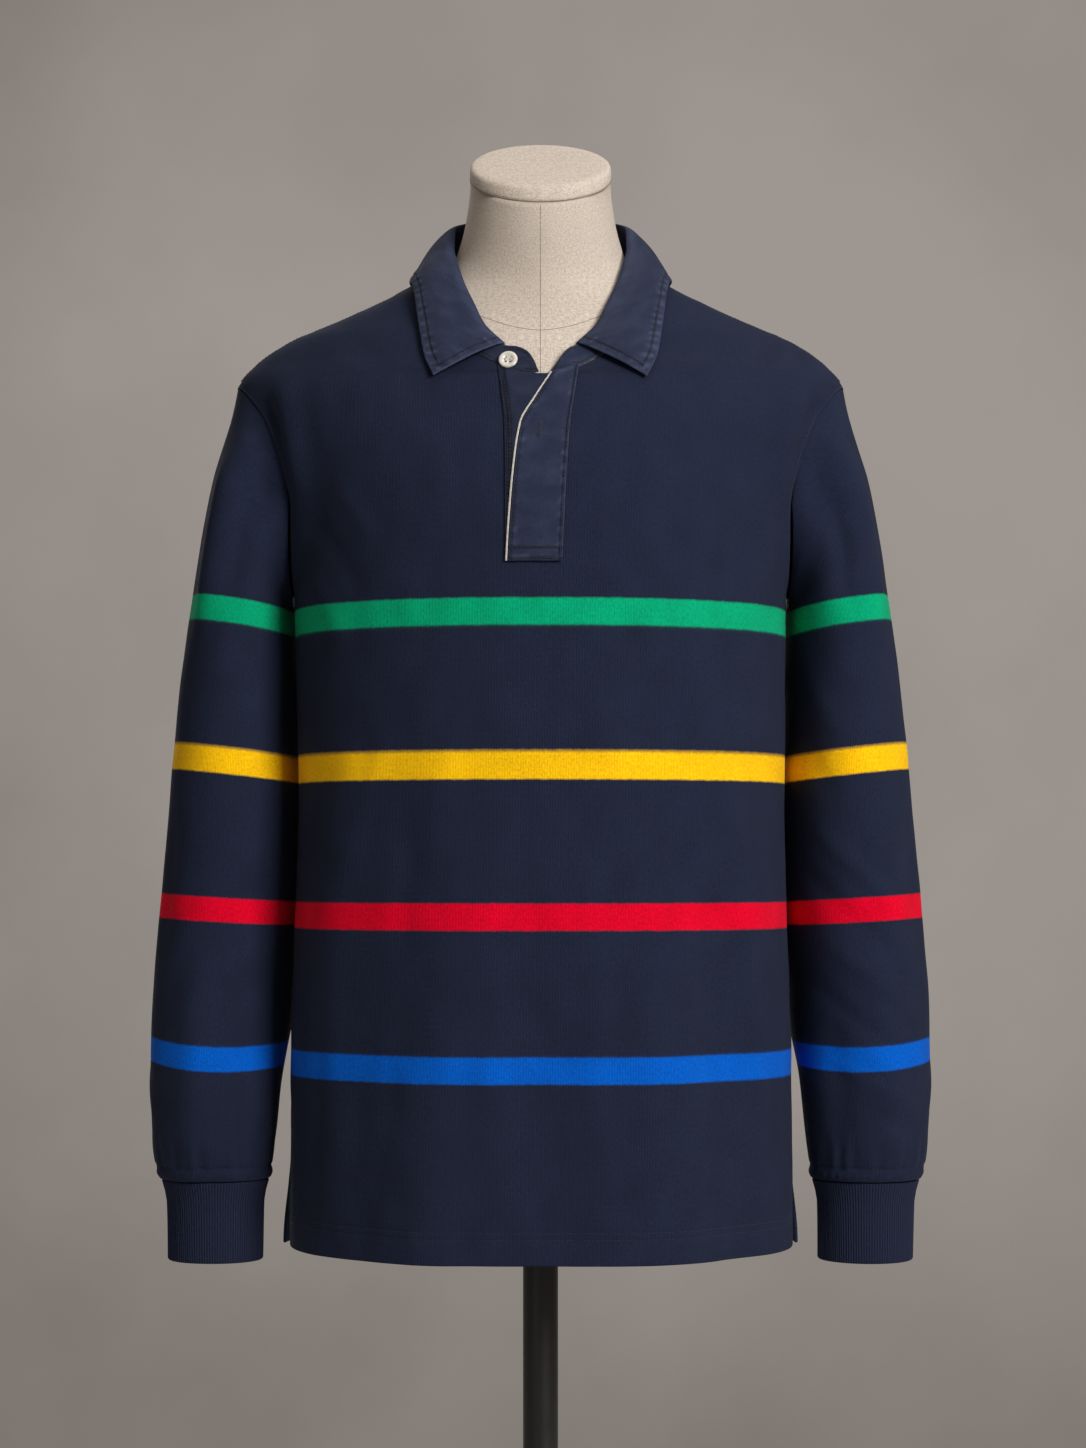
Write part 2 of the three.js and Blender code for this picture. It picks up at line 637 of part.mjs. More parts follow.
// A sleeve as a tube of cells, from the armhole to the cuff seam
function sleeve(mirror) {
  const rows = [];
  for (let ring = 0; ring <= sleeveRings; ring += 1) {
    const cells = [];
    for (let column = 0; column < sleeveColumns; column += 1) {
      const angle = (column / sleeveColumns) * 2 * Math.PI;
      const point = sleeveRingPoint(ring, angle);
      const aroundStep = sleeveRingPoint(ring, angle + 0.05).sub(sleeveRingPoint(ring, angle - 0.05));
      const below = sleeveRingPoint(Math.min(ring + 0.5, sleeveRings), angle);
      const above = sleeveRingPoint(Math.max(ring - 0.5, 0), angle);
      const normal = aroundStep.cross(below.sub(above)).normalize();
      if (ring === 0) {
        normal.lerp(bodyNormal(armholePoint(angle)), flushShare(angle)).normalize();
      }
      const lift = ring === 0 ? 0 : sleeveFoldLift(angle, point.z);
      const outer = point.addScaledVector(normal, lift);
      const inner = outer.clone().addScaledVector(normal, -clothWall);
      for (const place of [outer, inner]) place.x *= mirror;
      cells.push({ outer, inner });
    }
    rows.push(cells);
  }
  const sheet = new Sheet();
  sheet.addGrid(rows, true);
  return sheet.toGeometry();
}

// A cuff as a tube with fine ribs raised on its outer face over a plain inside
function cuff(mirror) {
  const rows = [];
  const profile = [[cuffTop, cuffTopRadius], [cuffWaist, cuffWaistRadius], [cuffBottom, cuffBottomRadius]];
  for (const [z, radius] of profile) {
    const cells = [];
    for (let column = 0; column < cuffRibs * 2; column += 1) {
      const angle = (column / (cuffRibs * 2)) * 2 * Math.PI;
      const rise = column % 2 === 0 ? cuffRibRise : 0;
      const out = new THREE.Vector3(Math.cos(angle), -Math.sin(angle), 0);
      const centre = new THREE.Vector3(cuffCentre, 0, z);
      const outer = centre.clone().addScaledVector(out, radius + rise);
      const inner = centre.clone().addScaledVector(out, radius - cuffWall);
      for (const place of [outer, inner]) place.x *= mirror;
      cells.push({ outer, inner });
    }
    rows.push(cells);
  }
  const sheet = new Sheet();
  sheet.addGrid(rows, true);
  return sheet.toGeometry();
}

// Place of the collar at a fraction from the front end to the centre back
function collarStation(stations, place) {
  const numbered = stations.map((row, index) => ({ ...row, index }));
  const at = place * (stations.length - 1);
  const value = (column) => tableValue(numbered, 'index', column, at);
  const seam = necklinePoint(toRadians(value('seam')));
  const roll = new THREE.Vector3(value('rollX'), value('rollY'), value('rollZ'));
  const fall = new THREE.Vector3(value('fallX'), value('fallY'), value('fallZ'));
  const out = new THREE.Vector3(fall.x - roll.x, (fall.y - roll.y), 0);
  if (place === 1) out.x = 0;
  return { seam, roll, fall, out };
}

// The leaf of the collar, from its roll to its outer edge, right round the neck
function collarLeaf() {
  const sheet = new Sheet();
  for (const mirror of [1, -1]) {
    const columns = [];
    for (let column = 0; column <= collarColumns; column += 1) {
      const { roll, fall } = collarStation(collarStations, column / collarColumns);
      const away = new THREE.Vector3(fall.x + roll.x, fall.y + roll.y, 0).normalize();
      const along = fall.clone().sub(roll).normalize();
      const out = away.clone().addScaledVector(along, -away.dot(along)).normalize();
      const cells = [];
      for (let row = 0; row <= collarRows; row += 1) {
        const place = row / collarRows;
        const bulge = 3.5 * Math.sin(Math.PI * place);
        const outer = roll.clone().lerp(fall, place).addScaledVector(out, bulge);
        const inner = outer.clone().addScaledVector(out, -collarWall);
        for (const point of [outer, inner]) point.x *= mirror;
        cells.push({ outer, inner });
      }
      columns.push(cells);
    }
    sheet.addGrid(mirror > 0 ? columns : columns.reverse());
  }
  return sheet.toGeometry();
}

// Foot, top and outward direction of the stand at a place on the neckline
function standSection(seam, roll) {
  const level = new THREE.Vector3(seam.x * 0.6, seam.y, 0).normalize();
  const up = roll.clone().sub(seam).normalize();
  const out = level.clone().addScaledVector(up, -level.dot(up)).normalize();
  const base = seam.clone().addScaledVector(up, standSeamGap);
  const top = roll.clone().addScaledVector(out, -(collarWall + seamGap * 2));
  const spare = top.clone().sub(base).dot(up);
  top.addScaledVector(up, -Math.min(standTopDrop, spare / 2));
  return { base, top, out };
}

// The stand of the collar, from the neckline to the roll, with a rounded end at each front
function collarStand() {
  const count = collarColumns + standEndStations.length * 2;
  const sheet = new Sheet();
  for (const mirror of [1, -1]) {
    const columns = [];
    for (let column = 0; column <= count; column += 1) {
      const { seam, roll } = collarStation(standStations, column / count);
      const { base, top, out } = standSection(seam, roll);
      const cells = [];
      for (let row = 0; row <= standRows; row += 1) {
        const outer = base.clone().lerp(top, row / standRows);
        const inner = outer.clone().addScaledVector(out, -collarWall);
        for (const point of [outer, inner]) point.x *= mirror;
        cells.push({ outer, inner });
      }
      columns.push(cells);
    }
    sheet.addGrid(mirror > 0 ? columns : columns.reverse());
  }
  return sheet.toGeometry();
}

// Point of the front panel's outer face seen at a place from the front, moved out
function frontPoint(x, z, out) {
  const section = bodySection(z);
  const y = -section.front * (1 - (Math.abs(x) / section.halfWidth) ** section.power) ** (1 / section.power);
  const point = new THREE.Vector3(x, y, z);
  return point.addScaledVector(bodyNormal(point), bodyFoldLift('front', x, z) + out);
}

// A strip that lies on the front panel between two edges given by height
function frontStrip(rows, firstColumn, lastColumn, columns, count, out, wall) {
  const top = rows[0].z;
  const bottom = rows[rows.length - 1].z;
  const grid = [];
  for (let row = 0; row <= count; row += 1) {
    const z = lerp(top, bottom, row / count);
    const first = firstColumn(tableValue(rows, 'z', 'edgeX', z));
    const last = lastColumn(tableValue(rows, 'z', 'edgeX', z), tableValue(rows, 'z', 'sewnX', z));
    const cells = [];
    for (let column = 0; column <= columns; column += 1) {
      const x = lerp(first, last, column / columns);
      cells.push({ outer: frontPoint(x, z, out + wall), inner: frontPoint(x, z, out) });
    }
    grid.push(cells);
  }
  const sheet = new Sheet();
  sheet.addGrid(grid);
  return sheet.toGeometry();
}

// The form: a torso and neck inside the shirt, through tilted rings
function formTorso() {
  const rings = formRings.map((ring) => {
    const points = [];
    for (let side = 0; side < roundSides; side += 1) {
      const angle = (side / roundSides) * 2 * Math.PI;
      let point = formPoint(angle, ring.z);
      for (let pass = 0; pass < 12; pass += 1) {
        const z = ring.z + ring.tilt * (point.y + capForward * smoothstep(ring.z, 1400, 1479));
        point = formPoint(angle, z);
      }
      points.push(point);
    }
    return points;
  });
  return ringSolid(rings);
}

// Point of the form at an angle and a height
function formPoint(angle, z) {
  const inset = (column) => tableValue(formInsets, 'z', column, z);
  const section = bodySection(z + inset('drop'));
  const wide = section.halfWidth - inset('side');
  const excess = Math.max(0, wide - formHalfWidthLimit + 12);
  section.halfWidth = excess > 0 ? formHalfWidthLimit - 12 + 12 * (1 - Math.exp(-excess / 12)) : wide;
  section.front -= inset('front');
  section.back -= inset('back');
  return sectionPoint(section, angle, z);
}

// The cap on the neck: a tilted disc with a rounded edge and a low crown
function formNeckCap() {
  const profile = [
    { size: 0.96, rise: 0 },
    { size: 1, rise: 3 },
    { size: 1, rise: 6.5 },
    { size: 0.96, rise: 9 },
    { size: 0.7, rise: 11 },
    { size: 0.35, rise: 12.2 },
  ];
  const rings = profile.map((row) => {
    const points = [];
    for (let side = 0; side < roundSides; side += 1) {
      const angle = (side / roundSides) * 2 * Math.PI;
      const x = capHalfWidth * row.size * Math.sin(angle);
      const y = -capHalfDepth * row.size * Math.cos(angle);
      const z = capHeight - capThickness + capTilt * y + row.rise;
      points.push(new THREE.Vector3(x, y - capForward, z));
    }
    return points;
  });
  return ringSolid(rings);
}

// Round part about the pole from pairs of radius and height
function turned(pairs) {
  const profile = pairs.map(([radius, z]) => new THREE.Vector2(radius, z));
  const geometry = new THREE.LatheGeometry(profile, roundSides);
  geometry.rotateX(Math.PI / 2);
  return geometry;
}

// The base: a round plate with a softly rounded upper edge
function basePlate() {
  return turned([
    [0, 0],
    [baseRadius - 1, 0],
    [baseRadius, 1],
    [baseRadius, baseThickness - 4],
    [baseRadius - 4, baseThickness],
    [0, baseThickness],
  ]);
}

// A collar round the pole, with a rounded outer edge
function poleCollar(radius, low, high) {
  const bore = poleRadius + seamGap;
  return turned([
    [bore, low],
    [radius, low],
    [radius, high - 3],
    [radius - 3, high],
    [bore, high],
    [bore, low],
  ]);
}

// The pole, from the base plate up to the underside of the form
function pole() {
  return turned([
    [0, baseThickness + seamGap],
    [poleRadius, baseThickness + seamGap],
    [poleRadius, formBottom - seamGap],
    [0, formBottom - seamGap],
  ]);
}

// The button: a round disc with a rounded edge and four holes
function neckButton() {
  const outline = new THREE.Shape().absarc(0, 0, buttonRadius - buttonEdge, 0, 2 * Math.PI);
  for (const [x, y] of [[1, 1], [-1, 1], [-1, -1], [1, -1]]) {
    const hole = new THREE.Path();
    hole.absarc(x * buttonHoleSpread, y * buttonHoleSpread, buttonHoleRadius, 0, 2 * Math.PI, true);
    outline.holes.push(hole);
  }
  return new THREE.ExtrudeGeometry(outline, {
    depth: buttonThickness - 2 * buttonEdge,
    bevelEnabled: true,
    bevelSize: buttonEdge,
    bevelThickness: buttonEdge,
    bevelSegments: 1,
    curveSegments: 6,
  });
}

const shirt = new THREE.Group();

// Adds one named part in its own material
function addPart(name, geometry, look) {
  const mesh = new THREE.Mesh(geometry, new THREE.MeshStandardMaterial(look));
  mesh.name = name;
  shirt.add(mesh);
  return mesh;
}

const navyJersey = { color: 0x262d44, roughness: 0.95, metalness: 0 };
const navyTwill = { color: 0x2c3a5e, roughness: 0.9, metalness: 0 };
const ivoryTape = { color: 0xcdc6b9, roughness: 0.8, metalness: 0 };
const ivoryButton = { color: 0xd6d0c4, roughness: 0.35, metalness: 0 };
const linen = { color: 0xd0c2b0, roughness: 0.95, metalness: 0 };
const blackPaint = { color: 0x141412, roughness: 0.4, metalness: 0.2 };

addPart('front_panel', bodyPanel('front'), navyJersey);
addPart('back_panel', bodyPanel('back'), navyJersey);
for (const [sideName, mirror] of [['left', 1], ['right', -1]]) {
  addPart(`${sideName}_sleeve`, sleeve(mirror), navyJersey);
  addPart(`${sideName}_cuff`, cuff(mirror), navyJersey);
}
addPart('collar_stand', collarStand(), navyTwill);
addPart('collar_leaf', collarLeaf(), navyTwill);

const underPlacketOut = seamGap;
const topPlacketOut = underPlacketOut + placketWall + seamGap;
const tapeWidth = 1.4;
addPart(
  'under_placket',
  frontStrip(underPlacketRows, (edge) => edge, (edge, sewn) => sewn, 3, 10, underPlacketOut, placketWall),
  navyTwill,
);
addPart(
  'top_placket',
  frontStrip(placketRows, (edge) => edge, (edge, sewn) => sewn, 4, 12, topPlacketOut, placketWall),
  navyTwill,
);
addPart(
  'placket_tape',
  frontStrip(placketRows, (edge) => edge - seamGap - tapeWidth, (edge) => edge - seamGap, 1, 12, topPlacketOut, 1),
  ivoryTape,
);

const buttonSide = collarStation(standStations, buttonStation / (standStations.length - 1));
const buttonPlace = standSection(buttonSide.seam, buttonSide.roll);
const button = addPart('neck_button', neckButton(), ivoryButton);
button.position.copy(buttonPlace.base).lerp(buttonPlace.top, buttonHeightShare);
button.position.addScaledVector(buttonPlace.out, buttonEdge + buttonShank);
button.quaternion.setFromUnitVectors(new THREE.Vector3(0, 0, 1), buttonPlace.out);
button.position.x *= -1;
button.quaternion.y *= -1;
button.quaternion.z *= -1;

addPart('form_torso', formTorso(), linen);
addPart('form_neck_cap', formNeckCap(), linen);
addPart('pole_socket', poleCollar(socketRadius, formBottom - seamGap - socketHeight, formBottom - seamGap), blackPaint);
addPart('pole', pole(), blackPaint);
addPart('pole_flange', poleCollar(flangeRadius, baseThickness + seamGap, baseThickness + flangeHeight), blackPaint);
addPart('base_plate', basePlate(), blackPaint);

export default shirt;
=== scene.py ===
"""Rugby shirt on a dress form: cloth, sewing, finishes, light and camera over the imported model.

Shapes are worked out in millimetres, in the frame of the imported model, and set down in metres.
The shirt's front is at -Y and the wearer's left at +X.
"""

import math

import bmesh
import bpy
import numpy as np
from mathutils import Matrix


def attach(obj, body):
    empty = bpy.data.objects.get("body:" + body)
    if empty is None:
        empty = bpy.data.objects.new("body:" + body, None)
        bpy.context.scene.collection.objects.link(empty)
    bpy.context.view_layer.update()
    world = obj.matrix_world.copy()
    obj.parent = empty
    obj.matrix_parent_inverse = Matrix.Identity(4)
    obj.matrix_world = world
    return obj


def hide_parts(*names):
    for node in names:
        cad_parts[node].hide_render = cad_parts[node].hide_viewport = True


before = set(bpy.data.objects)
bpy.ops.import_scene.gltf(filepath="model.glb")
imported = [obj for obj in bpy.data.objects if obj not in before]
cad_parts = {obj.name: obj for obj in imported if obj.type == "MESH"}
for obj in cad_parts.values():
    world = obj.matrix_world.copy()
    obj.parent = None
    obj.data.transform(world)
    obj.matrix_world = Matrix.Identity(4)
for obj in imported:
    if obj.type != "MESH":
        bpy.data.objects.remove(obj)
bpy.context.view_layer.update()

MM = 0.001

# Camera, at the photograph's place and angle
CAMERA_PLACE = (0.0019, -2.4, 0.96)
CAMERA_LENS = 78.0
CAMERA_SHIFT_UP = 0.0974

# Driving sizes of the cloth
CLOTH_WALL = 1.8
HEM_WALL = 2.8
HEM_BAND = 24
CUFF_WALL = 2.6
COLLAR_WALL = 1.8
PLACKET_WALL = 1.3
STAND_TOP_DROP = 1.6
STAND_SEAM_GAP = 1
SEAM_GAP = 0.3
SLEEVE_SEAM_GAP = 0.6
UNDERARM_LAP = 1.4
HEM_HEIGHT = 671
VENT_HEIGHT = 44
VENT_GAP = 3
VENT_FLARE = 6

# Driving sizes of the armhole, the shoulder seam and the neckline
UNDERARM_HEIGHT = 1165
SHOULDER_POINT_HEIGHT = 1323
SHOULDER_SEAM_FORWARD = 7
ARMHOLE_FRONT = 56
ARMHOLE_BACK = 60
ARMHOLE_FLARE = 8
NECKLINE_HALF_WIDTH = 92
NECKLINE_FRONT = 114
NECKLINE_BACK = 74

# Driving sizes of the form, the pole and the base
FORM_BOTTOM = 731
FORM_HALF_WIDTH_LIMIT = 196
CAP_TILT = 0.543
CAP_HEIGHT = 1491
CAP_FORWARD = 15
CAP_HALF_WIDTH = 53.5
CAP_HALF_DEPTH = 51
CAP_THICKNESS = 10
POLE_RADIUS = 13.4
SOCKET_RADIUS = 30
SOCKET_HEIGHT = 26
FLANGE_RADIUS = 34
FLANGE_HEIGHT = 22
BASE_RADIUS = 175
BASE_THICKNESS = 10

# Driving sizes of the cuffs and the button
CUFF_TOP = 720.9
CUFF_BOTTOM = 659
CUFF_CENTRE = 248.6
CUFF_TOP_RADIUS = 40.6
CUFF_WAIST = 704
CUFF_WAIST_RADIUS = 36.6
CUFF_BOTTOM_RADIUS = 35.4
CUFF_RIBS = 112
CUFF_RIB_RISE = 0.5
BUTTON_RADIUS = 7
BUTTON_THICKNESS = 2.6
BUTTON_SHANK = 1.4
BUTTON_STATION = 3.6
BUTTON_HEIGHT_SHARE = 0.22
BUTTON_HOLE_RADIUS = 0.9
BUTTON_HOLE_SPREAD = 1.7

# How far inside their edge the stitch lines lie, and the top of the placket's strips
# below the neckline
LEAF_STITCH_IN = 6.5
STAND_STITCH_IN = 2.2
PLACKET_STITCH_IN = 2.0
STRIP_TOP_DROP = 0.4

# Stripes of the cloth: the height of the middle of each, their width and their soft edge
STRIPE_SOFT = 0.35
STRIPE_WIDTH = 20
STRIPES = (
    (812, "blue"),
    (922.5, "red"),
    (1032, "yellow"),
    (1142, "green"),
)

# Colours as they look, 0 to 255
COLOURS = {
    "navy": (31, 37, 57),
    # Painted highlight for the tops of the cuff ribs and painted shade for their valleys
    "rib_ridge_highlight": (38, 44, 66),
    "rib_valley_shade": (23, 27, 42),
    "green": (0, 162, 113),
    "yellow": (255, 197, 10),
    "red": (221, 0, 39),
    "blue": (0, 90, 194),
    "twill": (34, 40, 61),
    "twill_worn": (84, 92, 120),
    # Painted shade for the stitched grooves of the twill and under the top placket
    "twill_groove_shade": (12, 14, 24),
    "navy_thread": (15, 18, 30),
    # Painted shade inside the buttonhole openings
    "slit": (6, 7, 10),
    "tape": (205, 198, 185),
    "button": (216, 210, 198),
    "linen": (213, 201, 189),
    "linen_dark": (172, 156, 139),
    "linen_seam": (140, 125, 107),
    "black": (15, 15, 14),
    "floor": (206, 203, 199),
    "studio": (158, 151, 145),
    # Painted shade of the studio wall away from the pool of light behind the shirt
    "studio_painted_shade": (98, 92, 86),
}


def table(names, rows):
    """A short table as named columns, in the order of its first column."""
    ordered = sorted(rows)
    return {name: np.array([row[i] for row in ordered], float) for i, name in enumerate(names.split())}


# Level sections of the shirt body, carried on as the neck of the form
BODY_SECTIONS = table("z half_width front back power", [
    (671, 191, 147, 130, 2.25),
    (720, 191, 147.5, 128, 2.25),
    (858, 189, 148, 123, 2.25),
    (931, 186.5, 147.5, 122, 2.25),
    (1010, 184.5, 148, 124, 2.25),
    (1086, 185.5, 150, 127, 2.25),
    (1154, 187, 151, 130, 2.25),
    (1200, 188.5, 150, 131.5, 2.25),
    (1228, 190, 147.5, 131.5, 2.25),
    (1255, 199, 141.5, 131, 2.2),
    (1291, 216, 128, 127, 2.1),
    (1323, 231.5, 111, 120.5, 1.9),
    (1340, 219, 98, 116, 1.8),
    (1358, 194, 86, 108, 1.7),
    (1369, 169, 80, 100, 1.62),
    (1384, 135, 75, 90, 1.54),
    (1402, 99, 71, 76, 1.5),
    (1423, 67, 69, 63, 1.85),
    (1453, 58, 69, 53, 2),
    (1483, 54.5, 66.5, 44, 2),
    (1525, 53, 65, 36, 2),
])

# How far the form lies inside the shirt, and how much lower its shoulders are
FORM_INSETS = table("z side front back drop", [
    (731, 34, 36, 27, 0),
    (800, 31, 32, 24, 0),
    (960, 45, 47, 32, 0),
    (1140, 25, 23, 19, 0),
    (1228, 19, 15, 13, 0),
    (1291, 12, 6, 6, 1.2),
    (1323, 4, 1.8, 2, 2.7),
    (1376, 1.2, 2.2, 2, 3.1),
    (1402, 2, 3, 3, 5),
    (1436, 1.4, 0, 0, 0),
    (1468, 1.4, 0, 0, 0),
    (1486, 0.6, 0, 0, 0),
])

# Forward tilt of the rings that make the form, by the height of the ring
FORM_TILTS = table("z tilt", [
    (1200, 0),
    (1245, 0.03),
    (1285, 0.08),
    (1312, 0.14),
    (1332, 0.2),
    (1347, 0.25),
    (1360, 0.3),
    (1372, 0.34),
    (1384, 0.38),
    (1396, 0.42),
    (1409, 0.45),
    (1424, 0.48),
    (1443, 0.51),
    (1463, 0.543),
    (1480.65, 0.543),
])

# Sections of the left sleeve, from the shoulder point down to the cuff seam
SLEEVE_SECTIONS = table("outer_z outer_x inner_x inner_z front back", [
    (1323, 230, 189.5, 1165, 56, 60),
    (1300, 235.5, 189.8, 1161, 61, 66),
    (1253, 249.8, 188, 1154, 68, 75),
    (1205, 258.8, 187, 1149, 70, 79),
    (1150, 267, 186.4, 1138, 68, 80),
    (1086, 276, 184.4, 1076, 64, 76),
    (1000, 284.5, 183.4, 993, 60, 72),
    (930, 291, 185.4, 926, 57, 69),
    (857, 296, 190.5, 855, 57, 64),
    (800, 297.3, 198.3, 800, 56, 57),
    (757, 296.3, 202.5, 757, 52, 52),
    (733, 293.5, 205.5, 733, 46, 46),
    (721.2, 290.4, 206.8, 721.2, 41.8, 41.8),
])
SLEEVE_POWER = 2.1
INNER_SIDE_BACK = 50
SLEEVE_END = 721.2
SLEEVE_RINGS = 19

# Radius of a cuff by height, with a short shoulder under the seam
CUFF_PROFILE = table("z radius", [
    (CUFF_BOTTOM, CUFF_BOTTOM_RADIUS),
    (CUFF_WAIST, CUFF_WAIST_RADIUS),
    (CUFF_TOP, CUFF_TOP_RADIUS),
])

# How much higher a stripe lies on the outer side of a sleeve than on the body, and how much
# it falls from there to the inner side
SLEEVE_STRIPE_PLACES = table("z rise tilt", [
    (819, 9.4, 5),
    (930, 7, 6.5),
    (1045, 11.2, 10.5),
    (1160, 13.2, 11.5),
])
SLEEVE_STRIPE_SHARE = 0.94
BLUE_SLEEVE_DIP = 4.2

# Stations of the collar from the front end to the centre back: the place on the
# neckline, the roll at the top of the stand and the outer edge of the leaf
COLLAR_STATIONS = [
    (17, 26.3, -98, 1344.7, 78.3, -113, 1317.4),
    (27, 41.7, -87, 1360.3, 85.5, -98, 1334),
    (36, 50, -74, 1377.4, 89.5, -82, 1353),
    (47, 58.7, -56, 1397, 92.8, -65, 1373),
    (60, 64.4, -38, 1414.8, 95, -49, 1389),
    (72, 68.3, -18, 1430, 98, -30, 1400),
    (90, 69, 8, 1449, 101, 8, 1406),
    (112, 62, 32, 1457, 94, 42, 1403),
    (140, 40, 52, 1462.5, 58, 75, 1400),
    (180, 0, 60, 1465, 0, 88, 1398),
]

# Stations of the two rounded ends of the collar stand, from the tip to the leaf
STAND_ENDS = {
    "left": [
        (4.6, 8, -114.6, 1322, 0, 0, 0),
        (8, 13.4, -111.6, 1331, 0, 0, 0),
        (11.5, 18.4, -107.2, 1338.6, 0, 0, 0),
        (14.5, 22.6, -102.4, 1342.8, 0, 0, 0),
    ],
    "right": [
        (0.8, 1.2, -115.2, 1321.2, 0, 0, 0),
        (3.6, 4.6, -113, 1330.6, 0, 0, 0),
        (7.2, 9.8, -109.2, 1338.4, 0, 0, 0),
        (12.2, 17.6, -103.9, 1342.8, 0, 0, 0),
    ],
}

# The top placket from the neckline down to its box: its edge and its stitched side
TOP_PLACKET = table("z edge_x sewn_x", [
    (1317, 8.8, 28),
    (1298, -3, 25),
    (1277, -13.6, 21.6),
    (1237, -19.2, 18.6),
    (1190, -22.8, 16.2),
    (1178, -23.4, 15.8),
])
PLACKET_BOX_TOP = 1187.4

# The strip of the under placket that shows: its sewn side and its end under the top one
UNDER_PLACKET = table("z edge_x sewn_x", [
    (1316, -31.5, 8),
    (1298, -29, 8),
    (1277, -26.5, 6),
    (1237, -25.6, 4),
    (1191, -25.6, 2),
])
UNDER_PLACKET_OUT = SEAM_GAP
TOP_PLACKET_OUT = UNDER_PLACKET_OUT + PLACKET_WALL + SEAM_GAP
TAPE_WIDTH = 1.4
BUTTONHOLE = ((1.0, 1279.5), (-1.6, 1267.5))

# Largest folds of the body: side, start, end, width and lift; a trough has a lift below 0
BODY_FOLDS = [
    ("front", (193, 1322), (179, 1225), 11, 4.5),
    ("front", (206, 1306), (190, 1232), 9, -7),
    ("front", (-192, 1322), (-178, 1225), 11, 4.5),
    ("front", (-206, 1306), (-190, 1232), 9, -7),
    ("front", (138, 1055), (176, 780), 17, 4),
    ("front", (118, 960), (150, 671), 24, -4),
    ("front", (-142, 1030), (-176, 790), 17, 4),
    ("front", (-120, 930), (-140, 671), 24, -4),
    ("front", (70, 900), (84, 671), 26, 3.5),
    ("front", (-66, 880), (-84, 671), 26, 3.5),
    ("front", (4, 860), (-2, 671), 30, -3),
    ("back", (60, 1260), (82, 700), 26, 5),
    ("back", (22, 1120), (30, 671), 24, -5),
    ("back", (-34, 1180), (-36, 671), 24, 5),
    ("back", (-86, 1230), (-98, 671), 26, -5),
    ("back", (128, 1190), (140, 671), 22, -4),
]

# Smaller creases of the body, laid the same way
BODY_CREASES = [
    ("front", (150, 1238), (118, 1190), 7, 1.1),
    ("front", (162, 1216), (126, 1160), 8, -1.2),
    ("front", (170, 1186), (138, 1120), 8, 1.0),
    ("front", (-150, 1240), (-120, 1194), 7, 1.0),
    ("front", (-164, 1214), (-130, 1156), 8, -1.2),
    ("front", (-172, 1180), (-142, 1118), 8, 1.1),
    ("front", (112, 1096), (148, 960), 8, 0.9),
    ("front", (-112, 1060), (-150, 930), 8, 0.9),
    ("front", (96, 1020), (110, 760), 10, 0.8),
    ("front", (-92, 1000), (-112, 740), 10, -0.8),
    ("front", (34, 980), (44, 720), 12, 0.8),
    ("front", (-32, 1010), (-30, 740), 12, 0.8),
    ("front", (164, 900), (176, 700), 8, -1.2),
    ("front", (-160, 900), (-172, 700), 8, -1.2),
    ("front", (40, 1180), (86, 1120), 11, 0.6),
    ("front", (-44, 1180), (-80, 1110), 11, 0.6),
    ("back", (150, 1230), (118, 1170), 8, 1.3),
    ("back", (-150, 1232), (-116, 1166), 8, 1.2),
    ("back", (166, 1200), (130, 1120), 8, -1.2),
    ("back", (-164, 1204), (-128, 1116), 8, -1.2),
    ("back", (96, 1000), (108, 760), 9, 1.2),
    ("back", (-60, 1000), (-66, 740), 9, -1.0),
]

# Largest folds of a sleeve: angle from the outer side, top, end, width and lift
SLEEVE_FOLDS = [
    (52, 1300, 1130, 15, 5),
    (84, 1290, 1150, 14, -5),
    (300, 1290, 1120, 16, 4),
    (30, 1010, 880, 16, -3.5),
    (75, 900, 735, 16, 3.5),
    (118, 850, 735, 15, -3),
    (250, 900, 735, 18, -3.5),
    (300, 860, 735, 18, 3),
]

# Slanting creases of a sleeve: angle and height at the start and end, width in mm, lift
SLEEVE_CREASES = [
    ((118, 985), (62, 930), 7, 1.8),
    ((126, 950), (58, 884), 8, -1.8),
    ((112, 900), (48, 846), 7, 1.5),
    ((128, 868), (70, 822), 7, -1.4),
    ((122, 812), (50, 776), 6, 1.4),
    ((96, 778), (40, 752), 6, -1.2),
    ((140, 1120), (96, 1052), 9, 1.3),
    ((146, 1080), (104, 1010), 9, -1.4),
    ((236, 960), (300, 900), 8, 1.6),
    ((230, 900), (310, 846), 8, -1.6),
    ((238, 830), (300, 784), 7, 1.4),
    ((212, 1110), (262, 1040), 9, 1.3),
    ((344, 820), (392, 770), 7, 1.1),
]

# Grid counts
PANEL_LOWER_ROWS = 92
PANEL_ARMHOLE_ROWS = 46
PANEL_SHOULDER_ROWS = 32
PANEL_HALF_COLUMNS = 66
ROW_AT_UNDERARM = 11
ROW_AT_SHOULDER = 21
ROW_AT_NECK = 29
SLEEVE_GRID_COLUMNS = 128
SLEEVE_GRID_ROWS = 190
COLLAR_GRID_COLUMNS = 240
COLLAR_GRID_ROWS = 34
STAND_GRID_COLUMNS = 250
ROUND_SIDES = 128

# Distances from the collar's edges at which its grid has extra lines
COLLAR_EDGE_STEPS = np.array([0.15, 0.4, 0.8, 1.6, 2.4, 3.4, 4.4, 5.2, 5.9, 6.5, 7.1, 7.8, 8.5])
COLLAR_HALF_LENGTH = 230


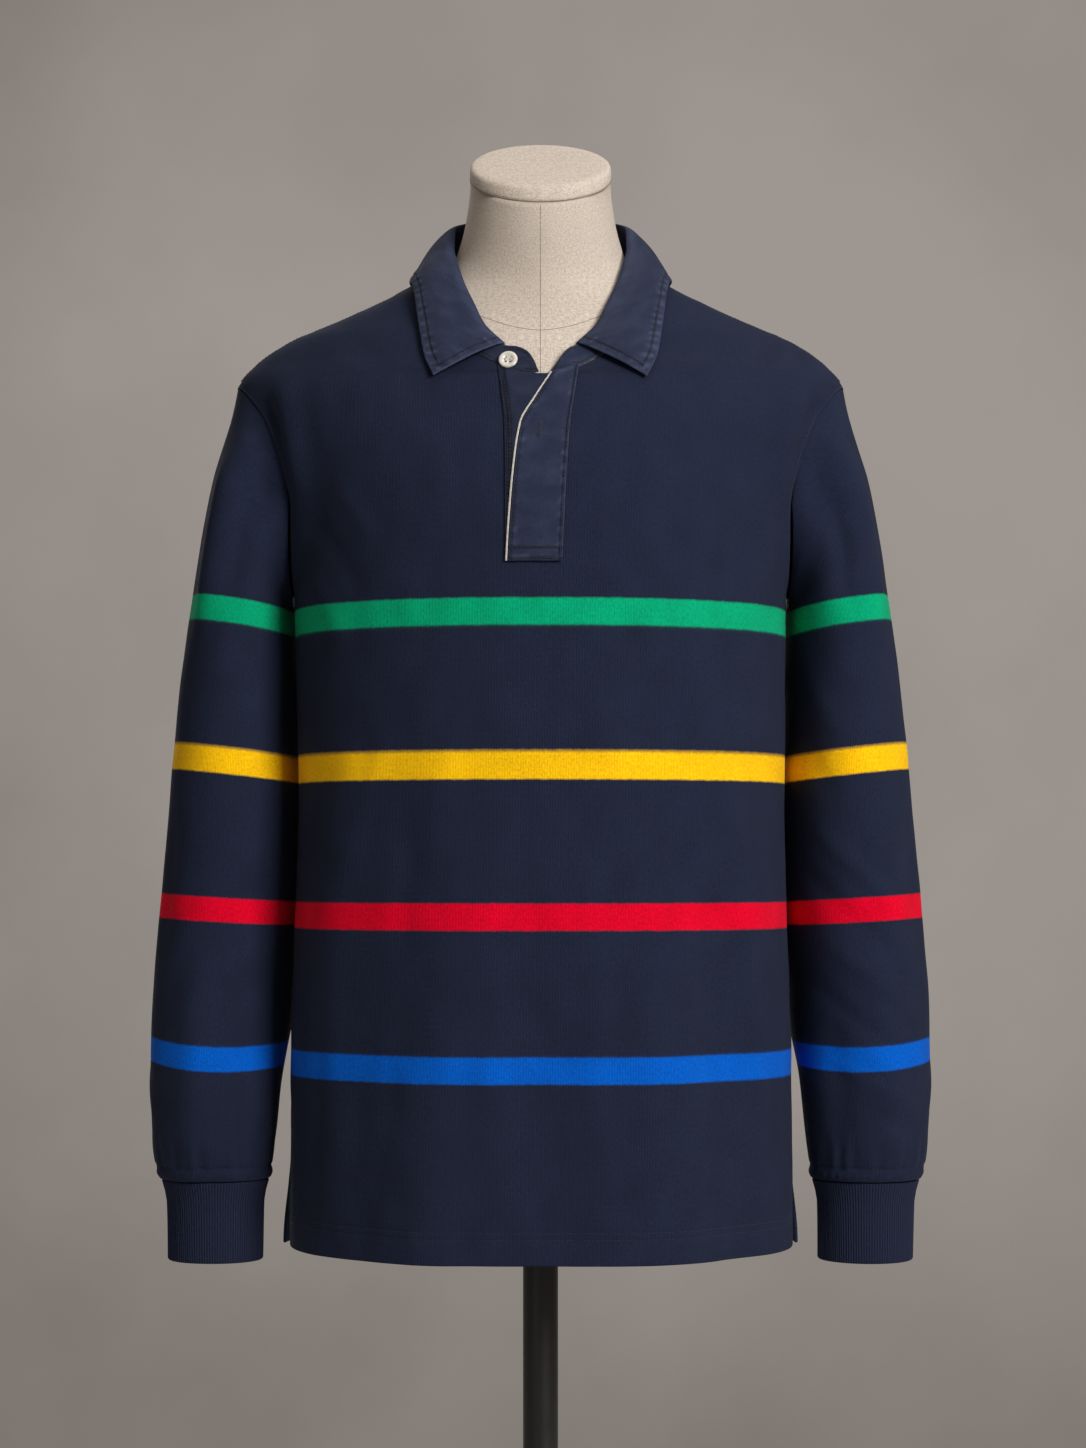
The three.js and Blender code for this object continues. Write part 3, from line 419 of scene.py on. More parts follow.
def column(rows, name, place):
    """Value of one column of a table at places along its first column, without overshoot."""
    keys = next(iter(rows.values()))
    values = rows[name]
    place = np.clip(place, keys[0], keys[-1])
    chords = np.diff(values) / np.diff(keys)
    before, after = chords[:-1], chords[1:]
    same_way = before * after > 0
    total = np.where(same_way, before + after, 1)
    inner = np.where(same_way, 2 * before * after / total, 0)
    slopes = np.concatenate([chords[:1], inner, chords[-1:]])
    index = np.clip(np.searchsorted(keys, place, side="right") - 1, 0, len(keys) - 2)
    span = keys[index + 1] - keys[index]
    t = (place - keys[index]) / span
    start = (2 * t**3 - 3 * t**2 + 1) * values[index] + (t**3 - 2 * t**2 + t) * span * slopes[index]
    end = (3 * t**2 - 2 * t**3) * values[index + 1] + (t**3 - t**2) * span * slopes[index + 1]
    return start + end


def signed_power(value, power):
    return np.sign(value) * np.abs(value) ** power


def smoothstep(value, low, high):
    t = np.clip((value - low) / (high - low), 0, 1)
    return t * t * (3 - 2 * t)


def lerp(start, end, share):
    return start + (end - start) * share


def bell(distance, width):
    return np.exp(-((distance / width) ** 2))


def unit(vectors):
    return vectors / np.maximum(np.linalg.norm(vectors, axis=-1, keepdims=True), 1e-12)


def dot(a, b):
    return np.sum(a * b, axis=-1, keepdims=True)


def stack(x, y, z):
    return np.stack(np.broadcast_arrays(x, y, z), axis=-1).astype(float)


def waves(u, v, scale_u, scale_v, seed, count=7):
    """Smooth uneven relief between about -1 and 1, from a few seeded sine waves."""
    rng = np.random.default_rng(seed)
    total = 0
    for _ in range(count):
        along_u = rng.uniform(-1, 1) / scale_u
        along_v = rng.uniform(-1, 1) / scale_v
        total = total + np.sin(2 * np.pi * (u * along_u + v * along_v) + rng.uniform(0, 2 * np.pi))
    return total / math.sqrt(count)


# Body


def body_section(z):
    return {name: column(BODY_SECTIONS, name, z) for name in ("half_width", "front", "back", "power")}


def section_point(section, angle, z):
    """Point of a section at an angle: 0 at the centre front, 90 degrees at the wearer's left."""
    depth = np.where(np.cos(angle) > 0, section["front"], section["back"])
    x = section["half_width"] * signed_power(np.sin(angle), 2 / section["power"])
    y = -depth * signed_power(np.cos(angle), 2 / section["power"])
    return stack(x, y, z)


def section_angle(section, y):
    """Angle at which a section reaches a given depth on the wearer's left."""
    depth = np.where(y < 0, section["front"], section["back"])
    return np.arccos(np.clip(signed_power(-y / depth, section["power"] / 2), -1, 1))


def body_ratio(points):
    """How far outside the body points lie, as a ratio that is 1 on the body."""
    section = body_section(points[..., 2])
    depth = np.where(points[..., 1] < 0, section["front"], section["back"])
    across = (np.abs(points[..., 0]) / section["half_width"]) ** section["power"]
    along = (np.abs(points[..., 1]) / depth) ** section["power"]
    return (across + along) ** (1 / section["power"])


def body_normal(points):
    step = 0.5
    parts = []
    for axis in range(3):
        shift = np.zeros(3)
        shift[axis] = step
        parts.append(body_ratio(points + shift) - body_ratio(points - shift))
    return unit(np.stack(parts, axis=-1))


def fold_lift(folds, side, x, z):
    """Lift of the folds of one side of the body at places on it."""
    lift = 0
    for fold_side, start, end, width, height in folds:
        if fold_side != side:
            continue
        along_x = end[0] - start[0]
        along_z = end[1] - start[1]
        length = math.hypot(along_x, along_z)
        offset_x = x - start[0]
        offset_z = z - start[1]
        place = (offset_x * along_x + offset_z * along_z) / length**2
        across = np.abs(offset_x * along_z - offset_z * along_x) / length
        fade_out = 1 if end[1] <= HEM_HEIGHT else 1 - smoothstep(place, 0.75, 1.12)
        lift = lift + height * smoothstep(place, -0.12, 0.25) * fade_out * bell(across, width)
    return lift


def armhole_point(angle):
    """Point of the armhole seam: 0 at the shoulder point, 90 degrees at the front."""
    height = (1 + np.cos(angle)) / 2
    z = lerp(UNDERARM_HEIGHT, SHOULDER_POINT_HEIGHT, height)
    reach = np.where(np.sin(angle) > 0, ARMHOLE_FRONT, ARMHOLE_BACK)
    y = -SHOULDER_SEAM_FORWARD * height - reach * np.sin(angle)
    section = body_section(z)
    point = section_point(section, section_angle(section, y), z)
    point[..., 0] += ARMHOLE_FLARE * np.sin(angle) ** 2
    return point


def height_on_body(x, y, low, high=1425):
    """Height at which the shoulders lie under places seen from above."""
    low = np.full(np.broadcast(x, y).shape, float(low))
    high = np.full_like(low, high)
    for _ in range(30):
        middle = (low + high) / 2
        inside = body_ratio(stack(x, y, middle)) < 1
        low = np.where(inside, middle, low)
        high = np.where(inside, high, middle)
    return low


def neckline_point(angle):
    """Point of the neckline, where an upright oval meets the shoulders; angle from the front."""
    depth = np.where(np.cos(angle) > 0, NECKLINE_FRONT, NECKLINE_BACK)
    x = NECKLINE_HALF_WIDTH * np.sin(angle)
    y = -depth * np.cos(angle)
    return stack(x, y, height_on_body(x, y, 1300))


NECKLINE_SECTION = {"front": NECKLINE_FRONT, "back": NECKLINE_BACK, "power": 2}


def lower_height(row):
    return lerp(HEM_HEIGHT, UNDERARM_HEIGHT, (np.clip(row, 0, ROW_AT_UNDERARM) / ROW_AT_UNDERARM) ** 0.94)


def lower_row(z):
    return ROW_AT_UNDERARM * ((z - HEM_HEIGHT) / (UNDERARM_HEIGHT - HEM_HEIGHT)) ** (1 / 0.94)


def panel_edge(side, row):
    """Far end of panel rows: side seam, then armhole, then shoulder seam, on the left side."""
    sign = -1 if side == "front" else 1
    half = SEAM_GAP / 2
    z = lower_height(row)
    open_half = np.where(z < HEM_HEIGHT + VENT_HEIGHT, VENT_GAP / 2, half)
    section = body_section(z)
    side_seam = section_point(section, section_angle(section, sign * open_half), z)
    if side == "back":
        side_seam[..., 0] += VENT_FLARE * (1 - smoothstep(z, HEM_HEIGHT, HEM_HEIGHT + VENT_HEIGHT + 30))
    turn = np.pi * (1 - np.clip((row - ROW_AT_UNDERARM) / (ROW_AT_SHOULDER - ROW_AT_UNDERARM), 0, 1))
    armhole = armhole_point(turn if side == "front" else -turn)
    armhole[..., 1] += sign * half
    share = np.clip((row - ROW_AT_SHOULDER) / (ROW_AT_NECK - ROW_AT_SHOULDER), 0, 1)
    neck_end = neckline_point(section_angle(NECKLINE_SECTION, np.array(-float(SHOULDER_SEAM_FORWARD))))
    x = lerp(armhole_point(np.array(0.0))[0], neck_end[0], share)
    y = np.full_like(x, -SHOULDER_SEAM_FORWARD + sign * half)
    shoulder = stack(x, y, height_on_body(x, y, SHOULDER_POINT_HEIGHT))
    row = row[..., None]
    return np.where(row <= ROW_AT_UNDERARM, side_seam, np.where(row <= ROW_AT_SHOULDER, armhole, shoulder))


def panel_middle(side, row):
    """Near end of panel rows: the centre line, then the neckline up to the shoulder seam."""
    sign = -1 if side == "front" else 1
    start = 0.0 if side == "front" else np.pi
    centre = neckline_point(np.array(start))
    share = np.clip((row - ROW_AT_UNDERARM) / (ROW_AT_SHOULDER - ROW_AT_UNDERARM), 0, 1)
    z = np.where(row <= ROW_AT_UNDERARM, lower_height(row), lerp(UNDERARM_HEIGHT, centre[2], share))
    straight = stack(0, sign * body_section(z)[side], z)
    end = section_angle(NECKLINE_SECTION, np.array(-SHOULDER_SEAM_FORWARD + sign * SEAM_GAP / 2))
    turn = np.clip((row - ROW_AT_SHOULDER) / (ROW_AT_NECK - ROW_AT_SHOULDER), 0, 1)
    neckline = neckline_point(lerp(start, end, turn))
    return np.where(row[..., None] <= ROW_AT_SHOULDER, straight, neckline)


def panel_base(side, row, across):
    """Places of a panel on the body before its folds; across is -1 to 1, 0 in the middle."""
    row, across = np.broadcast_arrays(np.asarray(row, float), np.asarray(across, float))
    middle = panel_middle(side, row)
    edge = panel_edge(side, row)
    on_section = edge.copy()
    on_section[..., :2] /= body_ratio(edge)[..., None]
    flare = edge - on_section
    start = section_angle(body_section(middle[..., 2]), middle[..., 1])
    end = section_angle(body_section(on_section[..., 2]), on_section[..., 1])
    away = np.abs(across)
    z = lerp(middle[..., 2], edge[..., 2], away)
    point = section_point(body_section(z), lerp(start, end, away), z)
    point += flare * (smoothstep(away, 0.72, 1) ** 2)[..., None]
    point[..., 0] *= np.where(np.signbit(across), -1, 1)
    return point


def panel_detail(side, point, edge_distance):
    """Small relief of a body panel: creases, soft waves and the pull of its stitching."""
    x, z = point[..., 0], point[..., 2]
    lift = 1.5 * fold_lift(BODY_CREASES, side, x, z)
    seed = 11 if side == "front" else 12
    lift = lift + 0.9 * waves(x, z, 60, 260, seed) * smoothstep(1220 - z, 0, 200)
    lift = lift + 0.26 * waves(x, z, 24, 50, seed + 2)
    hem = z - HEM_HEIGHT
    lift = lift + 0.3 * bell(hem - HEM_BAND + 5, 9) * waves(x, z, 11, 60, seed + 4)
    lift = lift - 0.35 * (bell(hem - HEM_BAND, 1.1) + bell(hem - HEM_BAND + 5, 1.1))
    lift = lift + 0.22 * bell(edge_distance - 5, 5) * waves(x, z, 14, 12, seed + 6)
    return lift * smoothstep(edge_distance, 0, 9)


def length_along(points, axis):
    """Length reached at each grid point along its row (axis 1) or its column (axis 0)."""
    steps = np.linalg.norm(np.diff(points, axis=axis), axis=-1)
    start = np.zeros_like(np.take(steps, [0], axis=axis))
    return np.concatenate([start, np.cumsum(steps, axis=axis)], axis=axis)


def grid_edge_distance(points, closed_columns=False):
    """Distance of each grid point from the nearest edge of its grid, along rows and columns."""
    distance = np.full(points.shape[:2], np.inf)
    if not closed_columns:
        reached = length_along(points, 1)
        distance = np.minimum(reached, reached[:, -1:] - reached)
    depth = length_along(points, 0)
    return np.minimum(distance, np.minimum(depth, depth[-1:] - depth))


def grid_cloth(points):
    """Place on the cloth of each grid point, in millimetres along its row and up its column."""
    reached = length_along(points, 1)
    middle = points.shape[1] // 2
    across = reached - reached[:, middle:middle + 1]
    down = np.linalg.norm(np.diff(points, axis=0), axis=-1).mean(axis=1)
    height = np.concatenate([[0], np.cumsum(down)])
    return across, np.broadcast_to(height[:, None], across.shape)


def grid_normals(points, closed_columns=False):
    """Directions straight out of a grid, from its rows and columns."""
    if closed_columns:
        along = np.roll(points, -1, axis=1) - np.roll(points, 1, axis=1)
    else:
        along = np.gradient(points, axis=1)
    return unit(np.cross(along, np.gradient(points, axis=0)))


def shell_faces(surface, normals, wall, edge_distance, rounding=0.9):
    """Outer and inner faces of cloth of a given thickness, with its edges rounded over."""
    share = np.clip(edge_distance / rounding, 0, 1)
    thickness = np.maximum(wall / 2 * np.sqrt(1 - (1 - share) ** 2), 0.04)[..., None]
    middle = surface - normals * np.asarray(wall / 2)[..., None]
    return middle + normals * thickness, middle - normals * thickness


# Mesh makers


def new_object(name, mesh):
    piece = bpy.data.objects.new(name, mesh)
    bpy.context.scene.collection.objects.link(piece)
    return piece


def mesh_object(name, points, faces, material):
    """A smooth mesh piece from points in millimetres."""
    mesh = bpy.data.meshes.new(name)
    mesh.from_pydata((np.asarray(points) * MM).tolist(), [], [list(map(int, face)) for face in faces])
    mesh.polygons.foreach_set("use_smooth", [True] * len(mesh.polygons))
    mesh.materials.append(material)
    mesh.update()
    return new_object(name, mesh)


def set_attribute(piece, name, values):
    """A number or a vector for each point of a piece, for its material."""
    values = np.asarray(values, float)
    kind = "FLOAT" if values.ndim == 1 else "FLOAT_VECTOR"
    layer = piece.data.attributes.new(name, kind, "POINT")
    layer.data.foreach_set("value" if kind == "FLOAT" else "vector", values.ravel())


def grid_quads(indices, closed_columns):
    right = np.roll(indices, -1, axis=1) if closed_columns else indices[:, 1:]
    left = indices if closed_columns else indices[:, :-1]
    quads = np.stack([left[:-1], right[:-1], right[1:], left[1:]], axis=-1)
    return quads.reshape(-1, 4)


def rim_quads(first, second):
    """Faces between two open lines of points of the same length."""
    return np.stack([first[:-1], second[:-1], second[1:], first[1:]], axis=-1)


def shell_object(name, outer, inner, material, closed_columns=False, cloth=None, **attributes):
    """A sheet of cloth with an outer face, an inner face and a rim along its open edges."""
    rows, columns = outer.shape[:2]
    count = rows * columns
    front = np.arange(count).reshape(rows, columns)
    back = front + count
    parts = [grid_quads(front, closed_columns), grid_quads(back, closed_columns)[:, ::-1]]
    ends = [np.append(line, line[0]) if closed_columns else line for line in (front[0], front[-1])]
    parts.append(rim_quads(ends[0], ends[0] + count)[:, ::-1])
    parts.append(rim_quads(ends[1], ends[1] + count))
    if not closed_columns:
        parts.append(rim_quads(front[:, 0], back[:, 0]))
        parts.append(rim_quads(front[:, -1], back[:, -1])[:, ::-1])
    faces = np.concatenate(parts)
    points = np.concatenate([outer.reshape(-1, 3), inner.reshape(-1, 3)])
    corner = points[faces[: (rows - 1) * (columns - 1)]]
    facing = np.cross(corner[:, 2] - corner[:, 0], corner[:, 3] - corner[:, 1])
    wanted = (outer - inner).reshape(-1, 3)[faces[: len(corner), 0]]
    if np.sum(facing * wanted) < 0:
        faces = faces[:, ::-1]
    piece = mesh_object(name, points, faces, material)
    if cloth is None:
        cloth = grid_cloth(outer)
    flat = np.stack([cloth[0], cloth[1], np.zeros(outer.shape[:2])], axis=-1).reshape(-1, 3)
    set_attribute(piece, "cloth", np.concatenate([flat, flat]))
    for key, values in attributes.items():
        flat = np.broadcast_to(values, (rows, columns)).ravel()
        set_attribute(piece, key, np.concatenate([flat, flat]))
    return piece


def joined_shell(name, grids, material):
    """One sheet of cloth from grids that share points, with rims along its open edges."""
    known = {}
    outer_points, inner_points, cloth, stripes, faces = [], [], [], [], []
    for outer, inner, across, stripe in grids:
        flat = outer.reshape(-1, 3)
        indices = np.empty(len(flat), int)
        for i, key in enumerate(map(tuple, np.round(flat, 3) + 0.0)):
            if key not in known:
                known[key] = len(known)
                outer_points.append(flat[i])
                inner_points.append(inner.reshape(-1, 3)[i])
                cloth.append((across.flat[i], stripe.flat[i], 0))
                stripes.append(stripe.flat[i])
            indices[i] = known[key]
        for face in grid_quads(indices.reshape(outer.shape[:2]), False).tolist():
            corners = [corner for i, corner in enumerate(face) if corner != face[i - 1]]
            if len(corners) > 2:
                faces.append(corners if across[0, -1] > 0 else corners[::-1])
    outer_points = np.array(outer_points)
    count = len(outer_points)
    edges = {(face[i - 1], face[i]) for face in faces for i in range(len(face))}
    rims = [[b, a, a + count, b + count] for a, b in sorted(edges) if (b, a) not in edges]
    backs = [[corner + count for corner in face[::-1]] for face in faces]
    points = np.concatenate([outer_points, np.array(inner_points)])
    piece = mesh_object(name, points, faces + backs + rims, material)
    set_attribute(piece, "cloth", np.array(cloth + cloth))
    set_attribute(piece, "stripe", np.array(stripes + stripes))
    recalculate(piece)
    return piece


def add_piece(piece, slot, *nodes):
    """Sets a finished piece on the part's one body, in place of its CAD nodes; the slot is not used."""
    if nodes:
        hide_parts(*nodes)
    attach(piece, "root")
    return piece


def spaced(points, normals, pitch, start=0.5):
    """Places at an even pitch along a line, with the direction along it and out of it."""
    steps = np.linalg.norm(np.diff(points, axis=0), axis=-1)
    reached = np.concatenate([[0], np.cumsum(steps)])
    count = max(int(reached[-1] / pitch), 1)
    places = (np.arange(count) + start) * reached[-1] / count
    centre = np.stack([np.interp(places, reached, points[:, axis]) for axis in range(3)], axis=-1)
    out = np.stack([np.interp(places, reached, normals[:, axis]) for axis in range(3)], axis=-1)
    ahead = np.stack([np.interp(places + 0.4, reached, points[:, axis]) for axis in range(3)], axis=-1)
    behind = np.stack([np.interp(places - 0.4, reached, points[:, axis]) for axis in range(3)], axis=-1)
    return centre, unit(ahead - behind), unit(out)


def stitches(name, runs, material, length=2.5, width=0.62, height=0.34):
    """Many small stitches as one mesh; a run is centres, directions along and directions out."""
    profile = [(-0.5, 0.0), (-0.34, 0.8), (0.0, 1.0), (0.34, 0.8), (0.5, 0.0)]
    sides = 6
    shape = []
    for place, size in profile:
        for side in range(sides if size else 1):
            turn = 2 * np.pi * side / sides
            shape.append((place * length, size * width / 2 * np.cos(turn), size * height * np.sin(turn)))
    shape = np.array(shape)
    faces = [(0, 1 + (side + 1) % sides, 1 + side) for side in range(sides)]
    for ring in range(2):
        low = 1 + ring * sides
        for side in range(sides):
            after = (side + 1) % sides
            faces.append((low + side, low + after, low + sides + after, low + sides + side))
    last = 1 + 3 * sides
    low = 1 + 2 * sides
    faces += [(last, low + side, low + (side + 1) % sides) for side in range(sides)]
    points = []
    all_faces = []
    for centres, along, out in runs:
        across = unit(np.cross(out, along))
        for i in range(len(centres)):
            base = len(points) * len(shape)
            local = shape[:, :1] * along[i] + shape[:, 1:2] * across[i] + shape[:, 2:] * out[i]
            points.append(centres[i] + local)
            all_faces += [tuple(base + index for index in face) for face in faces]
    return mesh_object(name, np.concatenate(points), all_faces, material)


def tube(points, normals, radius, sides=8, closed=False):
    """Points and faces of a thin cord along a line."""
    along = np.roll(points, -1, 0) - np.roll(points, 1, 0) if closed else np.gradient(points, axis=0)
    along = unit(along)
    across = unit(np.cross(normals, along))
    out = np.cross(along, across)
    rings = []
    for side in range(sides):
        turn = 2 * np.pi * side / sides
        rings.append(points + radius * (np.cos(turn) * across + np.sin(turn) * out))
    grid = np.stack(rings, axis=1)
    indices = np.arange(grid.shape[0] * sides).reshape(-1, sides)
    if closed:
        indices = np.concatenate([indices, indices[:1]])
    faces = [list(face) for face in grid_quads(indices, True)]
    if not closed:
        faces.append(list(indices[0]))
        faces.append(list(indices[-1][::-1]))
    return grid.reshape(-1, 3), faces


def joined(parts):
    """One list of points and faces from several."""
    points = []
    faces = []
    count = 0
    for part_points, part_faces in parts:
        points.append(part_points)
        faces += [[index + count for index in face] for face in part_faces]
        count += len(part_points)
    return np.concatenate(points), faces


def rounded_profile(corners, radius, steps=5):
    """A closed outline of radius and height with its convex corners rounded over."""
    outline = []
    count = len(corners)
    for i, corner in enumerate(corners):
        corner = np.array(corner, float)
        before = np.array(corners[i - 1], float) - corner
        after = np.array(corners[(i + 1) % count], float) - corner
        if corner[0] < 1e-6:
            outline.append(corner)
            continue
        cut = min(radius, np.linalg.norm(before) / 2.2, np.linalg.norm(after) / 2.2)
        start = corner + before / np.linalg.norm(before) * cut
        end = corner + after / np.linalg.norm(after) * cut
        for step in range(steps + 1):
            t = step / steps
            outline.append((1 - t) ** 2 * start + 2 * t * (1 - t) * corner + t**2 * end)
    return np.array(outline)


def turned_object(name, corners, radius, material, sides=ROUND_SIDES):
    """A round part about the pole, from the corners of its profile."""
    outline = rounded_profile(corners, radius)
    turns = np.linspace(0, 2 * np.pi, sides, endpoint=False)
    on_axis = outline[:, 0] < 1e-6
    points = []
    rings = []
    for row, (reach, z) in enumerate(outline):
        if on_axis[row]:
            rings.append([len(points)] * sides)
            points.append((0, 0, z))
        else:
            rings.append(list(range(len(points), len(points) + sides)))
            points += [(reach * np.cos(t), reach * np.sin(t), z) for t in turns]
    faces = []
    last = len(rings) if not on_axis.any() else len(rings) - 1
    for row in range(last):
        low, high = rings[row], rings[(row + 1) % len(rings)]
        for side in range(sides):
            after = (side + 1) % sides
            face = []
            for index in (low[side], low[after], high[after], high[side]):
                if index not in face:
                    face.append(index)
            if len(face) > 2:
                faces.append(face)
    piece = mesh_object(name, points, faces, material)
    recalculate(piece)
    return piece


def recalculate(piece):
    """Turns all faces of a closed piece outward."""
    work = bmesh.new()
    work.from_mesh(piece.data)
    bmesh.ops.recalc_face_normals(work, faces=work.faces)
    work.to_mesh(piece.data)
    work.free()


# Materials


def linear(name, share=1.0):
    """A colour of the table as the shader takes it, made darker or lighter by a share."""
    parts = [value / 255 for value in COLOURS[name]]
    light = [p / 12.92 if p <= 0.04045 else ((p + 0.055) / 1.055) ** 2.4 for p in parts]
    return tuple(part * share for part in light) + (1,)


class Finish:
    """A material's node tree, with short ways to add and join nodes."""

    def __init__(self, name, **values):
        self.material = bpy.data.materials.new(name)
        self.material.use_nodes = True
        self.tree = self.material.node_tree
        self.shader = self.tree.nodes["Principled BSDF"]
        for socket, value in values.items():
            self.shader.inputs[socket.replace("_", " ")].default_value = value

    def node(self, kind, settings=None, **inputs):
        node = self.tree.nodes.new(kind)
        for key, value in (settings or {}).items():
            setattr(node, key, value)
        for key, value in inputs.items():
            socket = node.inputs[int(key[1:])] if key[0] == "i" and key[1:].isdigit() else node.inputs[key]
            if hasattr(value, "is_output"):
                self.tree.links.new(value, socket)
            else:
                socket.default_value = value
        return node

    def maths(self, operation, first, second=0.0, third=0.0):
        node = self.node("ShaderNodeMath", {"operation": operation}, i0=first, i1=second, i2=third)
        return node.outputs[0]

    def cloth(self):
        """Place on the cloth, in millimetres."""
        return self.node("ShaderNodeAttribute", {"attribute_name": "cloth"}).outputs["Vector"]

    def number(self, name):
        return self.node("ShaderNodeAttribute", {"attribute_name": name}).outputs["Fac"]

    def noise(self, vector, stretch, detail=2.0):
        """Noise whose grains are as large as stretch says, in the vector's own unit."""
        scaled = self.node("ShaderNodeVectorMath", {"operation": "DIVIDE"}, i0=vector, i1=stretch)
        noise = self.node("ShaderNodeTexNoise", None, Vector=scaled.outputs[0], Scale=1.0, Detail=detail)
        return noise.outputs["Fac"]

    def mix(self, share, first, second, blend="MIX"):
        node = self.node("ShaderNodeMix", {"data_type": "RGBA", "blend_type": blend})
        for socket, value in ((node.inputs[0], share), (node.inputs[6], first), (node.inputs[7], second)):
            if hasattr(value, "is_output"):
                self.tree.links.new(value, socket)
            else:
                socket.default_value = value
        return node.outputs[2]

    def spread(self, value, low, high, start=0.0, end=1.0):
        """A value between low and high, carried over to start and end."""
        node = self.node("ShaderNodeMapRange", None, i0=value, i1=low, i2=high, i3=start, i4=end)
        return node.outputs[0]

    def place(self):
        """Place in the model, in metres."""
        return self.node("ShaderNodeTexCoord").outputs["Object"]

    def colour(self, output):
        self.tree.links.new(output, self.shader.inputs["Base Color"])

    def shaded_colour(self, output, shade):
        """A colour, made darker or lighter by a number."""
        grey = self.node("ShaderNodeCombineColor", None, i0=shade, i1=shade, i2=shade)
        self.colour(self.mix(1.0, output, grey.outputs[0], "MULTIPLY"))

    def roughness(self, output):
        self.tree.links.new(output, self.shader.inputs["Roughness"])

    def bump(self, height, distance, strength=1.0):
        """Relief in metres, from a height between 0 and 1."""
        node = self.node("ShaderNodeBump", None, Height=height, Distance=distance, Strength=strength)
        self.tree.links.new(node.outputs[0], self.shader.inputs["Normal"])


def knit_height(finish, cloth, wale=1.15, course=0.85):
    """Relief of a plain knit: columns of small V shapes."""
    parts = finish.node("ShaderNodeSeparateXYZ", None, Vector=cloth)
    u, v = parts.outputs[0], parts.outputs[1]
    across = finish.maths("SINE", finish.maths("MULTIPLY", u, 2 * math.pi / wale))
    lean = finish.maths("ABSOLUTE", finish.maths("SINE", finish.maths("MULTIPLY", u, math.pi / wale)))
    turns = finish.maths("MULTIPLY", v, 2 * math.pi / course)
    loops = finish.maths("SINE", finish.maths("MULTIPLY_ADD", lean, math.pi, turns))
    return finish.maths("MULTIPLY_ADD", across, 0.3, finish.maths("MULTIPLY_ADD", loops, 0.2, 0.5))


def stripe_ramp(finish, height):
    """Colour by height: navy, with each stripe between two sharp edges."""
    low = STRIPES[0][0] - 60
    high = STRIPES[-1][0] + 60
    place = finish.spread(height, low, high)
    ramp = finish.node("ShaderNodeValToRGB")
    finish.tree.links.new(place, ramp.inputs[0])
    stops = ramp.color_ramp.elements
    stops[0].color = linear("navy")
    stops[1].color = linear("navy")
    for middle, name in STRIPES:
        for edge, first, second in (
            (middle - STRIPE_WIDTH / 2, "navy", name),
            (middle + STRIPE_WIDTH / 2, name, "navy"),
        ):
            for offset, colour in ((-STRIPE_SOFT, first), (STRIPE_SOFT, second)):
                stop = stops.new((edge + offset - low) / (high - low))
                stop.color = linear(colour)
    return ramp.outputs[0]


def knit_finish(name):
    """A matte knit with a faint bluish sheen, still without its colour."""
    finish = Finish(name, Roughness=0.95, Sheen_Weight=0.03, Sheen_Roughness=0.4)
    finish.shader.inputs["Sheen Tint"].default_value = (0.62, 0.66, 0.8, 1)
    finish.shader.inputs["Specular IOR Level"].default_value = 0.1
    return finish


def jersey_finish():
    finish = knit_finish("jersey")
    cloth = finish.cloth()
    grain = finish.noise(cloth, (1.6, 2.4, 1), 3)
    wander = finish.maths("MULTIPLY_ADD", finish.noise(cloth, (5, 5, 1)), 1.0, -0.5)
    height = finish.maths("ADD", finish.number("stripe"), wander)
    colour = stripe_ramp(finish, height)
    cloud = finish.noise(cloth, (26, 34, 1), 4)
    fine = finish.spread(grain, 0.25, 0.75, 0.8, 1.22)
    finish.shaded_colour(colour, finish.maths("MULTIPLY", fine, finish.spread(cloud, 0.3, 0.7, 0.92, 1.08)))
    knit = knit_height(finish, cloth)
    finish.bump(finish.maths("MULTIPLY_ADD", grain, 0.5, knit), 0.00035, 0.8)
    return finish.material


def rib_finish():
    finish = knit_finish("rib_knit")
    cloth = finish.cloth()
    grain = finish.noise(cloth, (1.2, 3.2, 1), 3)
    # Painted shade in the valleys between the ribs and painted highlight on their tops, mixed by the rise of
    # each rib.
    ribs = finish.mix(finish.number("rise"), linear("rib_valley_shade"), linear("rib_ridge_highlight"))
    finish.shaded_colour(ribs, finish.spread(grain, 0.25, 0.75, 0.78, 1.22))
    finish.bump(finish.maths("MULTIPLY_ADD", grain, 0.5, knit_height(finish, cloth, 0.9, 0.8)), 0.0003, 0.7)
    return finish.material


def twill_finish():
    """Cotton twill: slanting ribs, washed patches, pale worn puckers and painted shade in the sewn grooves.
    """
    finish = Finish("twill", Roughness=0.92, Sheen_Weight=0.03, Sheen_Roughness=0.4)
    finish.shader.inputs["Specular IOR Level"].default_value = 0.12
    cloth = finish.cloth()
    parts = finish.node("ShaderNodeSeparateXYZ", None, Vector=cloth)
    slant = finish.maths("ADD", parts.outputs[0], parts.outputs[1])
    rib = finish.maths("SINE", finish.maths("MULTIPLY", slant, 2 * math.pi / 1.05))
    grain = finish.noise(cloth, (1.4, 1.4, 1), 3)
    patch = finish.noise(cloth, (9, 7, 1), 3)
    cloud = finish.noise(cloth, (17, 13, 1), 4)
    worn = finish.maths("MULTIPLY", finish.number("worn"), finish.spread(patch, 0.3, 0.7, 0.3, 1.1))
    ridge = finish.maths("MULTIPLY_ADD", rib, 0.05, finish.spread(grain, 0.3, 0.75, 0.0, 0.1))
    washed = finish.maths("ADD", ridge, finish.spread(cloud, 0.42, 0.75, 0.0, 0.16))
    pale = finish.node("ShaderNodeMath", {"operation": "ADD", "use_clamp": True}, i0=worn, i1=washed)
    colour = finish.mix(pale.outputs[0], linear("twill"), linear("twill_worn"))
    # The seam attribute mixes in painted shade, in the stitched grooves and under the top placket.
    finish.colour(finish.mix(finish.number("seam"), colour, linear("twill_groove_shade")))
    finish.bump(finish.maths("MULTIPLY_ADD", rib, 0.35, grain), 0.0003, 0.8)
    return finish.material


